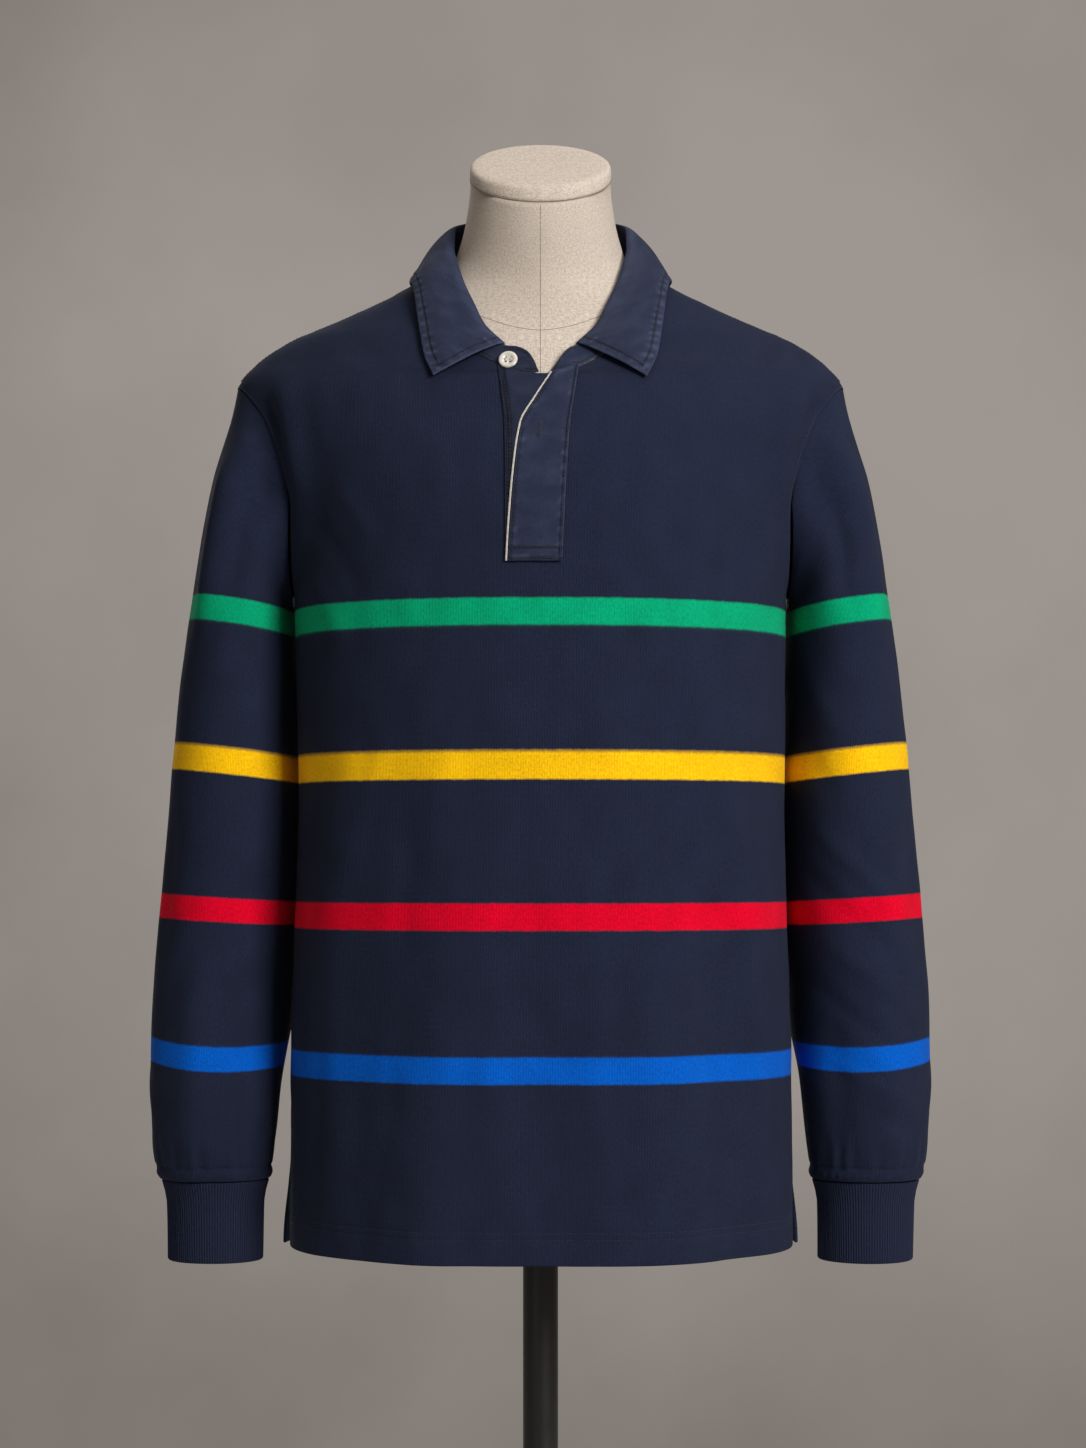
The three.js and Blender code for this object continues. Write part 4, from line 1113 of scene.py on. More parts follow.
def thread_finish(name, colour):
    finish = Finish(name, Roughness=0.7, Sheen_Weight=0.1)
    grain = finish.noise(finish.place(), (0.0012, 0.0012, 0.0012))
    finish.colour(finish.mix(finish.spread(grain, 0.3, 0.7), linear(colour, 0.6), linear(colour)))
    finish.bump(grain, 0.0002, 0.5)
    return finish.material


def tape_finish():
    finish = Finish("tape", Roughness=0.8, Sheen_Weight=0.1)
    cloth = finish.cloth()
    parts = finish.node("ShaderNodeSeparateXYZ", None, Vector=cloth)
    slant = finish.maths("ADD", parts.outputs[0], parts.outputs[1])
    rib = finish.maths("SINE", finish.maths("MULTIPLY", slant, 7.0))
    grain = finish.noise(cloth, (0.9, 2.2, 1), 3)
    finish.colour(finish.mix(finish.spread(grain, 0.25, 0.6), linear("tape", 0.55), linear("tape")))
    finish.bump(finish.maths("MULTIPLY_ADD", rib, 0.3, grain), 0.0003, 0.8)
    return finish.material


def linen_finish():
    """Plain-weave linen: fine threads both ways, with a fine even grain of slubs."""
    finish = Finish("linen", Roughness=0.92, Sheen_Weight=0.03, Sheen_Roughness=0.5)
    finish.shader.inputs["Specular IOR Level"].default_value = 0.15
    cloth = finish.cloth()
    parts = finish.node("ShaderNodeSeparateXYZ", None, Vector=cloth)
    warp = finish.maths("SINE", finish.maths("MULTIPLY", parts.outputs[0], 2 * math.pi / 0.95))
    weft = finish.maths("SINE", finish.maths("MULTIPLY", parts.outputs[1], 2 * math.pi / 0.95))
    along = finish.noise(cloth, (1.0, 3.2, 1), 2)
    around = finish.noise(cloth, (3.2, 1.0, 1), 2)
    threads = finish.maths("MULTIPLY", finish.maths("ADD", along, around), 0.5)
    cloud = finish.noise(cloth, (40, 40, 1), 3)
    shade = finish.maths("MULTIPLY_ADD", cloud, 0.35, finish.spread(threads, 0.35, 0.62, -0.1, 0.75))
    finish.colour(finish.mix(shade, linear("linen_dark"), linear("linen")))
    weave = finish.maths("MULTIPLY_ADD", warp, 0.2, finish.maths("MULTIPLY_ADD", weft, 0.2, 0.5))
    finish.bump(finish.maths("MULTIPLY_ADD", threads, 0.9, weave), 0.0003, 0.7)
    return finish.material


def button_finish():
    finish = Finish("button", Roughness=0.34, Coat_Weight=0.3, Coat_Roughness=0.2)
    cloud = finish.noise(finish.place(), (0.004, 0.004, 0.004), 3)
    finish.colour(finish.mix(finish.spread(cloud, 0.3, 0.65), linear("button", 0.72), linear("button")))
    finish.bump(cloud, 0.0002, 0.3)
    return finish.material


def metal_finish():
    """Satin black paint, with faint orange peel and a little dust."""
    finish = Finish("black_metal", Metallic=0.0, Coat_Weight=0.12, Coat_Roughness=0.25)
    finish.shader.inputs["Specular IOR Level"].default_value = 0.4
    where = finish.place()
    peel = finish.noise(where, (0.002, 0.002, 0.002), 2)
    dust = finish.noise(where, (0.03, 0.03, 0.06), 5)
    finish.colour(finish.mix(finish.spread(dust, 0.5, 0.8), linear("black"), linear("black", 2.2)))
    finish.roughness(finish.spread(dust, 0.3, 0.8, 0.34, 0.55))
    finish.bump(peel, 0.0001, 0.4)
    return finish.material


def floor_finish():
    finish = Finish("floor", Roughness=0.85)
    where = finish.place()
    cloud = finish.noise(where, (0.4, 0.4, 0.4), 4)
    finish.colour(finish.mix(cloud, linear("floor", 0.93), linear("floor")))
    finish.bump(finish.noise(where, (0.004, 0.004, 0.004)), 0.0003, 0.3)
    return finish.material


# Shirt body and sleeves


def panel_rows():
    lower = np.linspace(0, ROW_AT_UNDERARM, PANEL_LOWER_ROWS, endpoint=False)
    armhole = np.linspace(ROW_AT_UNDERARM, ROW_AT_SHOULDER, PANEL_ARMHOLE_ROWS, endpoint=False)
    shoulder = np.linspace(ROW_AT_SHOULDER, ROW_AT_NECK - 0.08, PANEL_SHOULDER_ROWS)
    hem_lines = lower_row(HEM_HEIGHT + np.array([0.35, 1.0, 2.0, 18.0, 19.0, 20.0, 23.0, 24.0, 25.0]))
    return np.unique(np.concatenate([lower, hem_lines, armhole, shoulder]))


def panel_columns():
    """Places across half a panel, closer together at both ends."""
    half = np.linspace(0, 1, PANEL_HALF_COLUMNS + 1)
    start = np.array([0.0015, 0.004, 0.008])
    edge = 1 - np.array([0.0045, 0.0025, 0.0012])
    return np.unique(np.concatenate([half, start, edge]))


def panel_surface(side, row, across):
    """Outer face of a panel with its folds, the direction out of it and its stripe height."""
    base = panel_base(side, row, across)
    normal = body_normal(base)
    away = np.abs(np.broadcast_to(across, base.shape[:-1]))
    fade = 1 - smoothstep(away, 0.93, 1)
    lift = fold_lift(BODY_FOLDS, side, base[..., 0], base[..., 2]) * fade
    width = 250 * smoothstep(ROW_AT_NECK - np.broadcast_to(row, away.shape), -1, 8)
    small = panel_detail(side, base, (1 - away) * width)
    return base + normal * (lift + small)[..., None], normal, base[..., 2]


def panel_wall(z):
    return lerp(HEM_WALL, CLOTH_WALL, smoothstep(z, HEM_HEIGHT + HEM_BAND - 0.5, HEM_HEIGHT + HEM_BAND + 2))


def distance_from(points, line):
    """Distance of each point from the nearest point of a line."""
    distance = np.full(points.shape[:-1], np.inf)
    for place in line:
        distance = np.minimum(distance, np.linalg.norm(points - place, axis=-1))
    return distance


def body_panel(side, material):
    """A panel as two halves that join along its centre line and part round the neck."""
    rows = panel_rows()
    grids = []
    for mirror in (1, -1):
        surface, normal, stripe = panel_surface(side, rows[:, None], mirror * panel_columns()[None, :])
        edges = (surface[0], surface[-1], surface[:, -1], surface[rows >= ROW_AT_SHOULDER, 0])
        distance = distance_from(surface, np.concatenate(edges))
        outer, inner = shell_faces(surface, normal, panel_wall(stripe), distance)
        grids.append((outer, inner, mirror * length_along(surface, 1), stripe))
    return joined_shell(f"{side}_panel_cloth", grids, material)


def flush_share(angle):
    return np.clip(np.cos(angle) * 1.6 + 0.6, 0, 1)


def sleeve_start(angle):
    """Start of the sleeve beside the armhole seam, outside the body under the arm."""
    seam = armhole_point(angle)
    along = armhole_point(angle + 0.02) - armhole_point(angle - 0.02)
    away = unit(np.cross(body_normal(seam), along))
    share = flush_share(angle)[..., None]
    start = seam + away * SLEEVE_SEAM_GAP * share
    start[..., 0] += UNDERARM_LAP * (1 - share[..., 0])
    return start


def sleeve_plain(outer_z, angle):
    """Point of the left sleeve at a section, by angle from its outer side round the front."""
    names = ("outer_x", "inner_x", "inner_z", "front", "back")
    section = {name: column(SLEEVE_SECTIONS, name, outer_z) for name in names}
    place = (1 + signed_power(np.cos(angle), 2 / SLEEVE_POWER)) / 2
    depth = np.where(np.sin(angle) > 0, section["front"], section["back"])
    x = lerp(section["inner_x"], section["outer_x"], place)
    beside = (1 - smoothstep(outer_z, 1225, 1320)) * smoothstep(outer_z, 780, 880)
    back = INNER_SIDE_BACK * beside * (1 - place) ** 1.5 * (1 - 0.75 * np.abs(np.sin(angle)))
    y = back - depth * signed_power(np.sin(angle), 2 / SLEEVE_POWER)
    return stack(x, y, lerp(section["inner_z"], outer_z, place)), place


def sleeve_base(outer_z, angle):
    """Places of the left sleeve before its folds, drawn to the armhole at the top."""
    outer_z, angle = np.broadcast_arrays(np.asarray(outer_z, float), np.asarray(angle, float))
    plain, place = sleeve_plain(outer_z, angle)
    start, _ = sleeve_plain(np.full_like(outer_z, SHOULDER_POINT_HEIGHT), angle)
    share = (SHOULDER_POINT_HEIGHT - outer_z) / (SHOULDER_POINT_HEIGHT - SLEEVE_END)
    ring = SLEEVE_RINGS * np.maximum(share, 0) ** (1 / 1.12)
    pull = np.maximum(0, 1 - ring / 2.5) ** 2
    return plain + (sleeve_start(angle) - start) * pull[..., None], place


def sleeve_lift(angle, z):
    lift = 0
    degrees = np.degrees(angle)
    for fold_angle, top, end, width, height in SLEEVE_FOLDS:
        away = np.abs((degrees - fold_angle + 540) % 360 - 180)
        place = (top - z) / (top - end)
        fade = smoothstep(place, -0.15, 0.3) * (1 - smoothstep(place, 0.7, 1.15))
        lift = lift + height * fade * bell(away, width)
    return lift


def sleeve_crease_lift(angle, z, mirror):
    """Lift of the slanting creases, which lie a little differently on the two sleeves."""
    reach = 50
    shift = 0 if mirror > 0 else 1
    lift = 0
    for number, (start, end, width, height) in enumerate(SLEEVE_CREASES):
        drop = shift * ((number * 37) % 23 - 11)
        start_u, end_u = math.radians(start[0]) * reach, math.radians(end[0]) * reach
        along_u, along_z = end_u - start_u, end[1] - start[1]
        length = math.hypot(along_u, along_z)
        offset_u = ((np.degrees(angle) - start[0] + 540) % 360 - 180) * math.pi / 180 * reach
        offset_z = z - start[1] - drop
        place = (offset_u * along_u + offset_z * along_z) / length**2
        across = np.abs(offset_u * along_z - offset_z * along_u) / length
        fade = smoothstep(place, -0.3, 0.3) * (1 - smoothstep(place, 0.7, 1.3))
        lift = lift + height * fade * bell(across, width)
    return lift


def sleeve_detail(angle, z, mirror):
    """Small relief of a sleeve: creases, soft waves and the gathers above its cuff."""
    seed = 31 if mirror > 0 else 32
    u = angle * 50
    lift = sleeve_crease_lift(angle, z, mirror)
    lift = lift + 0.4 * np.sin(2 * angle + z / 60 + seed) * smoothstep(1200 - z, 0, 100)
    lift = lift + 0.18 * np.sin(5 * angle + np.sin(z / 34 + seed) * 2 + z / 26)
    gathers = np.sin(17 * angle + 1.4 * np.sin(3 * angle + seed)) + 0.6 * np.sin(29 * angle + seed)
    lift = lift + 0.6 * gathers * smoothstep(z, 727, 733) * (1 - smoothstep(z, 738, 764))
    puckers = np.sin(41 * angle + 1.8 * np.sin(4 * angle + seed))
    lift = lift + bell(z - 725.5, 3.4) * (0.9 + 0.45 * puckers) - 0.7 * bell(z - 731.5, 1.6)
    return lift + 0.1 * waves(np.cos(angle) * 50, u * 0 + z, 22, 30, seed)


def sleeve_rows():
    """Heights of the outer side at which rows of the sleeve lie, closer near both ends."""
    share = np.linspace(0, 1, SLEEVE_GRID_ROWS) ** 1.1
    rows = lerp(SHOULDER_POINT_HEIGHT, SLEEVE_END, share)
    extra = [SHOULDER_POINT_HEIGHT - 0.2, SHOULDER_POINT_HEIGHT - 0.5, SLEEVE_END + 0.4]
    band = SLEEVE_END + np.arange(1, 14)
    return np.unique(np.concatenate([rows, extra, band]))[::-1]


def sleeve_surface(mirror):
    rows = sleeve_rows()[:, None]
    angle = np.linspace(0, 2 * np.pi, SLEEVE_GRID_COLUMNS, endpoint=False)[None, :]
    base, place = sleeve_base(rows, angle)
    normal = grid_normals(base, closed_columns=True)
    middle = base.mean(axis=1)
    if np.sum(normal * (base - middle[:, None])) < 0:
        normal = -normal
    near = smoothstep(rows, SHOULDER_POINT_HEIGHT - 26, SHOULDER_POINT_HEIGHT)
    share = near * flush_share(angle)
    normal = unit(lerp(normal, body_normal(armhole_point(angle)), share[..., None]))
    z = base[..., 2]
    start = (SHOULDER_POINT_HEIGHT - rows) / 22
    lift = (sleeve_lift(angle, z) + sleeve_detail(angle, z, mirror)) * smoothstep(start, 0, 1)
    outer = base + normal * lift[..., None]
    rise, tilt = (column(SLEEVE_STRIPE_PLACES, name, z) for name in ("rise", "tilt"))
    dip = BLUE_SLEEVE_DIP * bell(z - STRIPES[0][0], 45) * np.abs(np.sin(angle)) ** 2
    height = z - rise + tilt * (1 - place) + dip
    middles = np.array([middle for middle, _ in STRIPES])
    nearest = middles[np.argmin(np.abs(height[..., None] - middles), axis=-1)]
    stripe = nearest + (height - nearest) / SLEEVE_STRIPE_SHARE
    return outer, normal, stripe, angle


def sleeve(side, mirror, material):
    surface, normal, stripe, angle = sleeve_surface(mirror)
    distance = grid_edge_distance(surface, closed_columns=True)
    outer, inner = shell_faces(surface, normal, np.full(stripe.shape, CLOTH_WALL), distance)
    for grid in (outer, inner):
        grid[..., 0] *= mirror
    cloth = (np.broadcast_to(np.abs(angle - np.pi) * 52, stripe.shape), surface[..., 2])
    return shell_object(f"{side}_sleeve_cloth", outer, inner, material, True, cloth=cloth, stripe=stripe)


def cuff(side, mirror, material):
    """A ribbed cuff, folded double: a soft tube of fine upright ribs."""
    columns = CUFF_RIBS * 6
    angle = np.linspace(0, 2 * np.pi, columns, endpoint=False)[None, :]
    drops = np.array([0, 0.35, 0.9, 1.8, 4, 9, 17, 26, 36, 46, 54, 58.5, 60.4, 61.4, 61.8, 61.9])
    drops = drops[:, None]
    z = CUFF_TOP - drops
    share = drops / (CUFF_TOP - CUFF_BOTTOM)
    radius = column(CUFF_PROFILE, "radius", z)
    seed = 1 if mirror > 0 else 2
    wave = 0.5 * np.sin(2 * angle + seed) + 0.35 * np.sin(3 * angle + 2 * seed + share * 2)
    rise = (0.5 + 0.5 * np.cos(CUFF_RIBS * angle)) ** 0.7
    end = smoothstep(drops, 0, 1.5) * smoothstep(CUFF_TOP - CUFF_BOTTOM - drops, 0, 1.2)
    reach = radius + wave * share + CUFF_RIB_RISE * rise * end
    normal = stack(np.cos(angle), -np.sin(angle), 0 * reach)
    centre = stack(CUFF_CENTRE, 0, z + 0 * reach)
    surface = centre + normal * reach[..., None]
    distance = np.minimum(drops, CUFF_TOP - CUFF_BOTTOM - drops) + 0 * reach
    outer, inner = shell_faces(surface, normal, np.full(reach.shape, CUFF_WALL), distance, 1.3)
    for grid in (outer, inner):
        grid[..., 0] *= mirror
    cloth = (np.broadcast_to(angle * 38, reach.shape), z + 0 * reach)
    # The rise of each rib also drives the painted highlight on its top and the painted shade in its valley.
    return shell_object(f"{side}_cuff_rib", outer, inner, material, True, cloth=cloth, rise=rise + 0 * reach)


# Collar


def collar_station(stations, place):
    """Places of the collar at shares from the front end to the centre back."""
    numbered = np.array(stations, float)
    names = "index seam roll_x roll_y roll_z fall_x fall_y fall_z"
    rows = table(names, [(i, *row) for i, row in enumerate(numbered)])
    at = np.asarray(place, float) * (len(stations) - 1)
    value = {name: column(rows, name, at) for name in names.split()[1:]}
    seam = neckline_point(np.radians(value["seam"]))
    roll = stack(value["roll_x"], value["roll_y"], value["roll_z"])
    fall = stack(value["fall_x"], value["fall_y"], value["fall_z"])
    return seam, roll, fall


def stand_section(seam, roll):
    """Foot, top, upward and outward direction of the stand at places on the neckline."""
    level = unit(seam * np.array([0.6, 1, 0]))
    up = unit(roll - seam)
    out = unit(level - up * dot(level, up))
    base = seam + up * STAND_SEAM_GAP
    top = roll - out * (COLLAR_WALL + SEAM_GAP * 2)
    spare = dot(top - base, up)
    top = top - up * np.minimum(STAND_TOP_DROP, spare / 2)
    return base, top, up, out


def whole_collar(left, right):
    """Both sides of the collar as one grid, from the right front end round to the left one."""
    mirrored = right * np.array([-1, 1, 1])
    return np.concatenate([mirrored[:, :-1], left[:, ::-1]], axis=1)


def leaf_half(place):
    """Outer face of the left half of the leaf, from inside the stand over the roll to its edge."""
    seam, roll, fall = collar_station(COLLAR_STATIONS, place)
    _, _, up, stand_out = stand_section(seam, roll)
    away = unit((fall + roll) * np.array([1, 1, 0]))
    along = unit(fall - roll)
    out = unit(away - along * dot(away, along))

    def on_leaf(share):
        bulge = 3.5 * np.sin(np.pi * share)
        return lerp(roll, fall, share) + out * bulge

    inside = roll - stand_out * (2 * COLLAR_WALL + SEAM_GAP * 3)
    start = inside - up * 6
    crest_start = inside - up * 1.5
    join = 0.13
    crest_end = on_leaf(join)
    slope = unit(on_leaf(join + 0.02) - on_leaf(join - 0.02))
    rows = [start, lerp(start, crest_start, 0.5)]
    for t in np.linspace(0, 1, 13):
        first = (1 - t) ** 3 * crest_start + 3 * t * (1 - t) ** 2 * (crest_start + up * 4.6)
        last = 3 * t**2 * (1 - t) * (crest_end - slope * 7.5) + t**3 * crest_end
        rows.append(first + last)
    shares = np.linspace(join, 1, COLLAR_GRID_ROWS)[1:]
    reach = np.linalg.norm(fall - roll, axis=-1).mean()
    for share in np.unique(np.concatenate([shares, 1 - COLLAR_EDGE_STEPS / reach])):
        rows.append(on_leaf(share))
    return np.stack(rows)


def collar_places(count):
    """Shares along half the collar, closer together at its front end."""
    plain = np.linspace(0, 1, count // 2)
    return np.unique(np.concatenate([plain, COLLAR_EDGE_STEPS / COLLAR_HALF_LENGTH]))


def collar_leaf(material):
    half = leaf_half(collar_places(COLLAR_GRID_COLUMNS))
    surface = whole_collar(half, half)
    normal = grid_normals(surface)
    if normal[-4, :, 2].mean() < 0:
        normal = -normal
    across, _ = grid_cloth(surface)
    total_across = across[:, -1:] - across[:, :1]
    from_end = np.minimum(across - across[:, :1], total_across - (across - across[:, :1]))
    depth = length_along(surface, 0)
    from_edge = depth[-1:] - depth
    distance = np.minimum(from_end, from_edge)
    edge_place = np.where(from_edge < from_end, across, depth + 40)
    pucker = waves(edge_place, distance, 6.5, 40, 51)
    band = smoothstep(distance, 0.5, 3) * (1 - smoothstep(distance, 7.5, 13))
    groove = bell(distance - LEAF_STITCH_IN, 0.9)
    lift = 0.5 * pucker * band - 0.6 * groove
    lift = lift + 0.7 * waves(across, depth, 60, 60, 53) * smoothstep(depth, 10, 24)
    lift = lift * smoothstep(depth, 7, 12)
    surface = surface + normal * lift[..., None]
    outer, inner = shell_faces(surface, normal, np.full(depth.shape, COLLAR_WALL), distance, 1.2)
    crest = bell(depth - 12, 4) * 0.2
    edge_wear = 0.35 * bell(distance, 1.3) + 0.5 * band * np.clip(pucker, 0, 1) + crest
    worn = np.clip(edge_wear, 0, 1)
    # Painted shade in the stitched groove along the leaf's edges, carried as the seam attribute.
    seam = 0.75 * groove * smoothstep(depth, 7, 12)
    attributes = {"worn": worn, "seam": seam}
    piece = shell_object("collar_leaf_twill", outer, inner, material, cloth=(across, depth), **attributes)
    return piece, surface, normal


def stand_half(side, place):
    seam, roll, _ = collar_station(STAND_ENDS[side] + COLLAR_STATIONS, place)
    base, top, _, out = stand_section(seam, roll)
    shares = np.array([0, 0.012, 0.035, 0.08, 0.15, 0.25, 0.36, 0.5, 0.64, 0.76, 0.86, 0.93, 0.97, 0.99, 1])
    return np.stack([lerp(base, top, share) for share in shares]), np.stack([out] * len(shares))


def collar_stand(material):
    place = np.unique(np.concatenate([np.linspace(0, 1, STAND_GRID_COLUMNS // 2), [0.0008, 0.002, 0.004]]))
    left, left_out = stand_half("left", place)
    right, right_out = stand_half("right", place)
    surface = whole_collar(left, right)
    normal = unit(whole_collar(left_out, right_out))
    distance = grid_edge_distance(surface)
    across, height = grid_cloth(surface)
    band = smoothstep(distance, 0.4, 1.5) * (1 - smoothstep(distance, 3, 6))
    pucker = waves(across, height, 6, 20, 61)
    groove = bell(distance - STAND_STITCH_IN, 0.7)
    lift = 0.28 * pucker * band - 0.35 * groove
    surface = surface + normal * lift[..., None]
    outer, inner = shell_faces(surface, normal, np.full(distance.shape, COLLAR_WALL), distance, 1.2)
    worn = np.clip(0.3 * bell(distance, 1.1) + 0.35 * band * np.clip(pucker, 0, 1), 0, 1)
    # The seam attribute is painted shade in the stitched groove.
    attributes = {"worn": worn, "seam": 0.7 * groove}
    piece = shell_object("collar_stand_twill", outer, inner, material, cloth=(across, height), **attributes)
    return piece, surface, normal, distance


# Placket


def front_point(x, z, out):
    """Point of the front panel's outer face seen from the front, moved out, and its normal."""
    x, z = np.broadcast_arrays(np.asarray(x, float), np.asarray(z, float))
    section = body_section(z)
    ratio = np.abs(x) / section["half_width"]
    y = -section["front"] * (1 - ratio ** section["power"]) ** (1 / section["power"])
    point = stack(x, y, z)
    normal = body_normal(point)
    lift = fold_lift(BODY_FOLDS, "front", x, z) + out
    return point + normal * np.asarray(lift)[..., None], normal


def strip(name, rows, first, last, counts, out, wall, material, relief, rounding=0.7):
    """A strip that lies on the front panel between two edges, as a soft folded band."""
    keys = rows["z"]
    share = np.linspace(0, 1, counts[0])
    down = np.unique(np.concatenate([share, [0.002, 0.005, 0.995, 0.998]]))
    z = lerp(keys[-1], keys[0], down)[:, None]
    low = first(column(rows, "edge_x", z), column(rows, "sewn_x", z))
    high = last(column(rows, "edge_x", z), column(rows, "sewn_x", z))
    edge = np.array([0.15, 0.4, 0.8]) / float(np.mean(high - low))
    across = np.unique(np.concatenate([np.linspace(0, 1, counts[1]), edge, 1 - edge]))[None, :]
    x = lerp(low, high, across)
    neckline = neckline_point(np.arcsin(np.clip(x / NECKLINE_HALF_WIDTH, -1, 1)))[..., 2]
    z = keys[0] + (z - keys[0]) * (neckline - STRIP_TOP_DROP - keys[0]) / (keys[-1] - keys[0])
    surface, normal = front_point(x, z, out + wall)
    distance = grid_edge_distance(surface)
    # The third value of each relief is painted shade, carried as the seam attribute.
    lift, worn, seam = relief(x, z, distance, x - low, high - x)
    surface = surface + normal * lift[..., None]
    outer, inner = shell_faces(surface, normal, np.full(distance.shape, wall), distance, rounding)
    return shell_object(name, outer, inner, material, cloth=(x - low, z), worn=worn, seam=seam)


def top_placket_relief(x, z, distance, from_edge, from_sewn):
    """Stitched grooves with painted shade in them, puckers along them, and the pressed box at the foot."""
    pucker = waves(x, z, 12, 6.5, 71)
    band = smoothstep(distance, 0.4, 1.6) * (1 - smoothstep(distance, 3.2, 7))
    groove = bell(from_sewn - PLACKET_STITCH_IN, 0.8) + bell(from_edge - PLACKET_STITCH_IN, 0.8)
    box = bell(z - PLACKET_BOX_TOP, 0.8) + bell(z - TOP_PLACKET["z"][0] - 1.8, 0.8)
    seam = np.clip(groove + box, 0, 1)
    lift = 0.3 * pucker * band - 0.35 * seam
    lift = lift + 0.35 * waves(x, z, 30, 34, 72) * smoothstep(distance, 1, 8)
    worn = 0.25 * bell(from_sewn, 1.0) + 0.4 * band * np.clip(pucker, 0, 1)
    # The third value is painted shade in the stitched grooves and the box lines.
    return lift, np.clip(worn, 0, 1), 0.7 * seam


def under_placket_relief(x, z, distance, from_edge, from_sewn):
    """Two sewn grooves beside the folded side, with painted shade in them and under the tape."""
    pucker = waves(x, z, 12, 7, 75)
    groove = bell(from_edge - 2.2, 0.7) + 0.8 * bell(from_edge - 4.6, 0.7)
    lift = 0.16 * pucker * bell(from_edge - 3.4, 3) - 0.25 * groove
    worn = 0.2 * bell(from_edge, 1.0) + 0.25 * bell(from_edge - 3.4, 0.7) * np.clip(0.4 + pucker, 0, 1)
    # Painted shade: the whole strip darker, most of all beside its edge under the top placket.
    shade = 0.25 + 0.3 * (1 - smoothstep(from_edge, 4, 9))
    return lift, np.clip(worn, 0, 1), np.clip(shade + 0.5 * groove, 0, 1)


def tape_relief(x, z, distance, from_edge, from_sewn):
    return 0.12 * waves(x, z, 4, 3, 77), 0 * x, 0 * x


def placket(twill, tape):
    under = strip(
        "under_placket_twill", UNDER_PLACKET, lambda edge, sewn: edge, lambda edge, sewn: sewn,
        (130, 26), UNDER_PLACKET_OUT, PLACKET_WALL, twill, under_placket_relief,
    )
    top = strip(
        "top_placket_twill", TOP_PLACKET, lambda edge, sewn: edge, lambda edge, sewn: sewn,
        (170, 34), TOP_PLACKET_OUT, PLACKET_WALL, twill, top_placket_relief,
    )
    edge = strip(
        "placket_tape_strip", TOP_PLACKET,
        lambda edge, sewn: edge - SEAM_GAP - TAPE_WIDTH, lambda edge, sewn: edge - SEAM_GAP,
        (150, 6), TOP_PLACKET_OUT, 1.0, tape, tape_relief, 0.5,
    )
    return under, top, edge


# Form, pole and base


def form_point(angle, z):
    section = body_section(z + column(FORM_INSETS, "drop", z))
    wide = section["half_width"] - column(FORM_INSETS, "side", z)
    soft_from = FORM_HALF_WIDTH_LIMIT - 12
    excess = np.maximum(0, wide - soft_from)
    section["half_width"] = np.where(excess > 0, soft_from + 12 * (1 - np.exp(-excess / 12)), wide)
    section["front"] = section["front"] - column(FORM_INSETS, "front", z)
    section["back"] = section["back"] - column(FORM_INSETS, "back", z)
    return section_point(section, angle, z)


def form_ring(angle, ring_z):
    """Points of the form on tilted rings."""
    angle, ring_z = np.broadcast_arrays(np.asarray(angle, float), np.asarray(ring_z, float))
    tilt = column(FORM_TILTS, "tilt", ring_z)
    tilt = np.where(ring_z < 1200, 0, tilt)
    point = form_point(angle, ring_z)
    for _ in range(12):
        z = ring_z + tilt * (point[..., 1] + CAP_FORWARD * smoothstep(ring_z, 1400, 1479))
        point = form_point(angle, z)
    return point


def closed_rings(rings):
    """Points and faces of a closed piece through rings, with a fan at each end."""
    count, sides = rings.shape[:2]
    indices = np.arange(count * sides).reshape(count, sides)
    faces = [list(face) for face in grid_quads(indices, True)]
    points = rings.reshape(-1, 3)
    for ring in (0, -1):
        hub = len(points)
        points = np.concatenate([points, rings[ring].mean(axis=0)[None]])
        line = indices[ring]
        faces += [[hub, int(a), int(b)] for a, b in zip(line, np.roll(line, -1))]
    return points, faces


def cloth_from_angle(piece, rings, reach):
    """Marks a ringed piece with its place on the cloth, for the weave."""
    count, sides = rings.shape[:2]
    turn = np.abs(np.linspace(-1, 1, sides, endpoint=False)) * np.pi * reach
    u = np.broadcast_to(turn[None, :], (count, sides)).ravel()
    v = rings[..., 2].ravel()
    flat = np.stack([u, v, 0 * u], axis=-1)
    spare = np.zeros((len(piece.data.vertices) - len(flat), 3))
    set_attribute(piece, "cloth", np.concatenate([flat, spare]))


def form_torso(material):
    angle = np.linspace(0, 2 * np.pi, ROUND_SIDES, endpoint=False)[None, :]
    lower = np.linspace(FORM_BOTTOM + 4, 1200, 46, endpoint=False)
    upper = np.linspace(1200, 1480.65, 78)
    ring_z = np.concatenate([[FORM_BOTTOM, FORM_BOTTOM + 0.4, FORM_BOTTOM + 1.6], lower, upper])[:, None]
    rings = form_ring(angle, ring_z)
    inset = np.array([4.0, 1.8, 0.5])
    for row, step in enumerate(inset):
        rings[row, :, :2] *= 1 - step / np.linalg.norm(rings[row, :, :2], axis=-1, keepdims=True)
    points, faces = closed_rings(rings)
    piece = mesh_object("form_torso_linen", points, faces, material)
    cloth_from_angle(piece, rings, 130)
    recalculate(piece)
    return piece


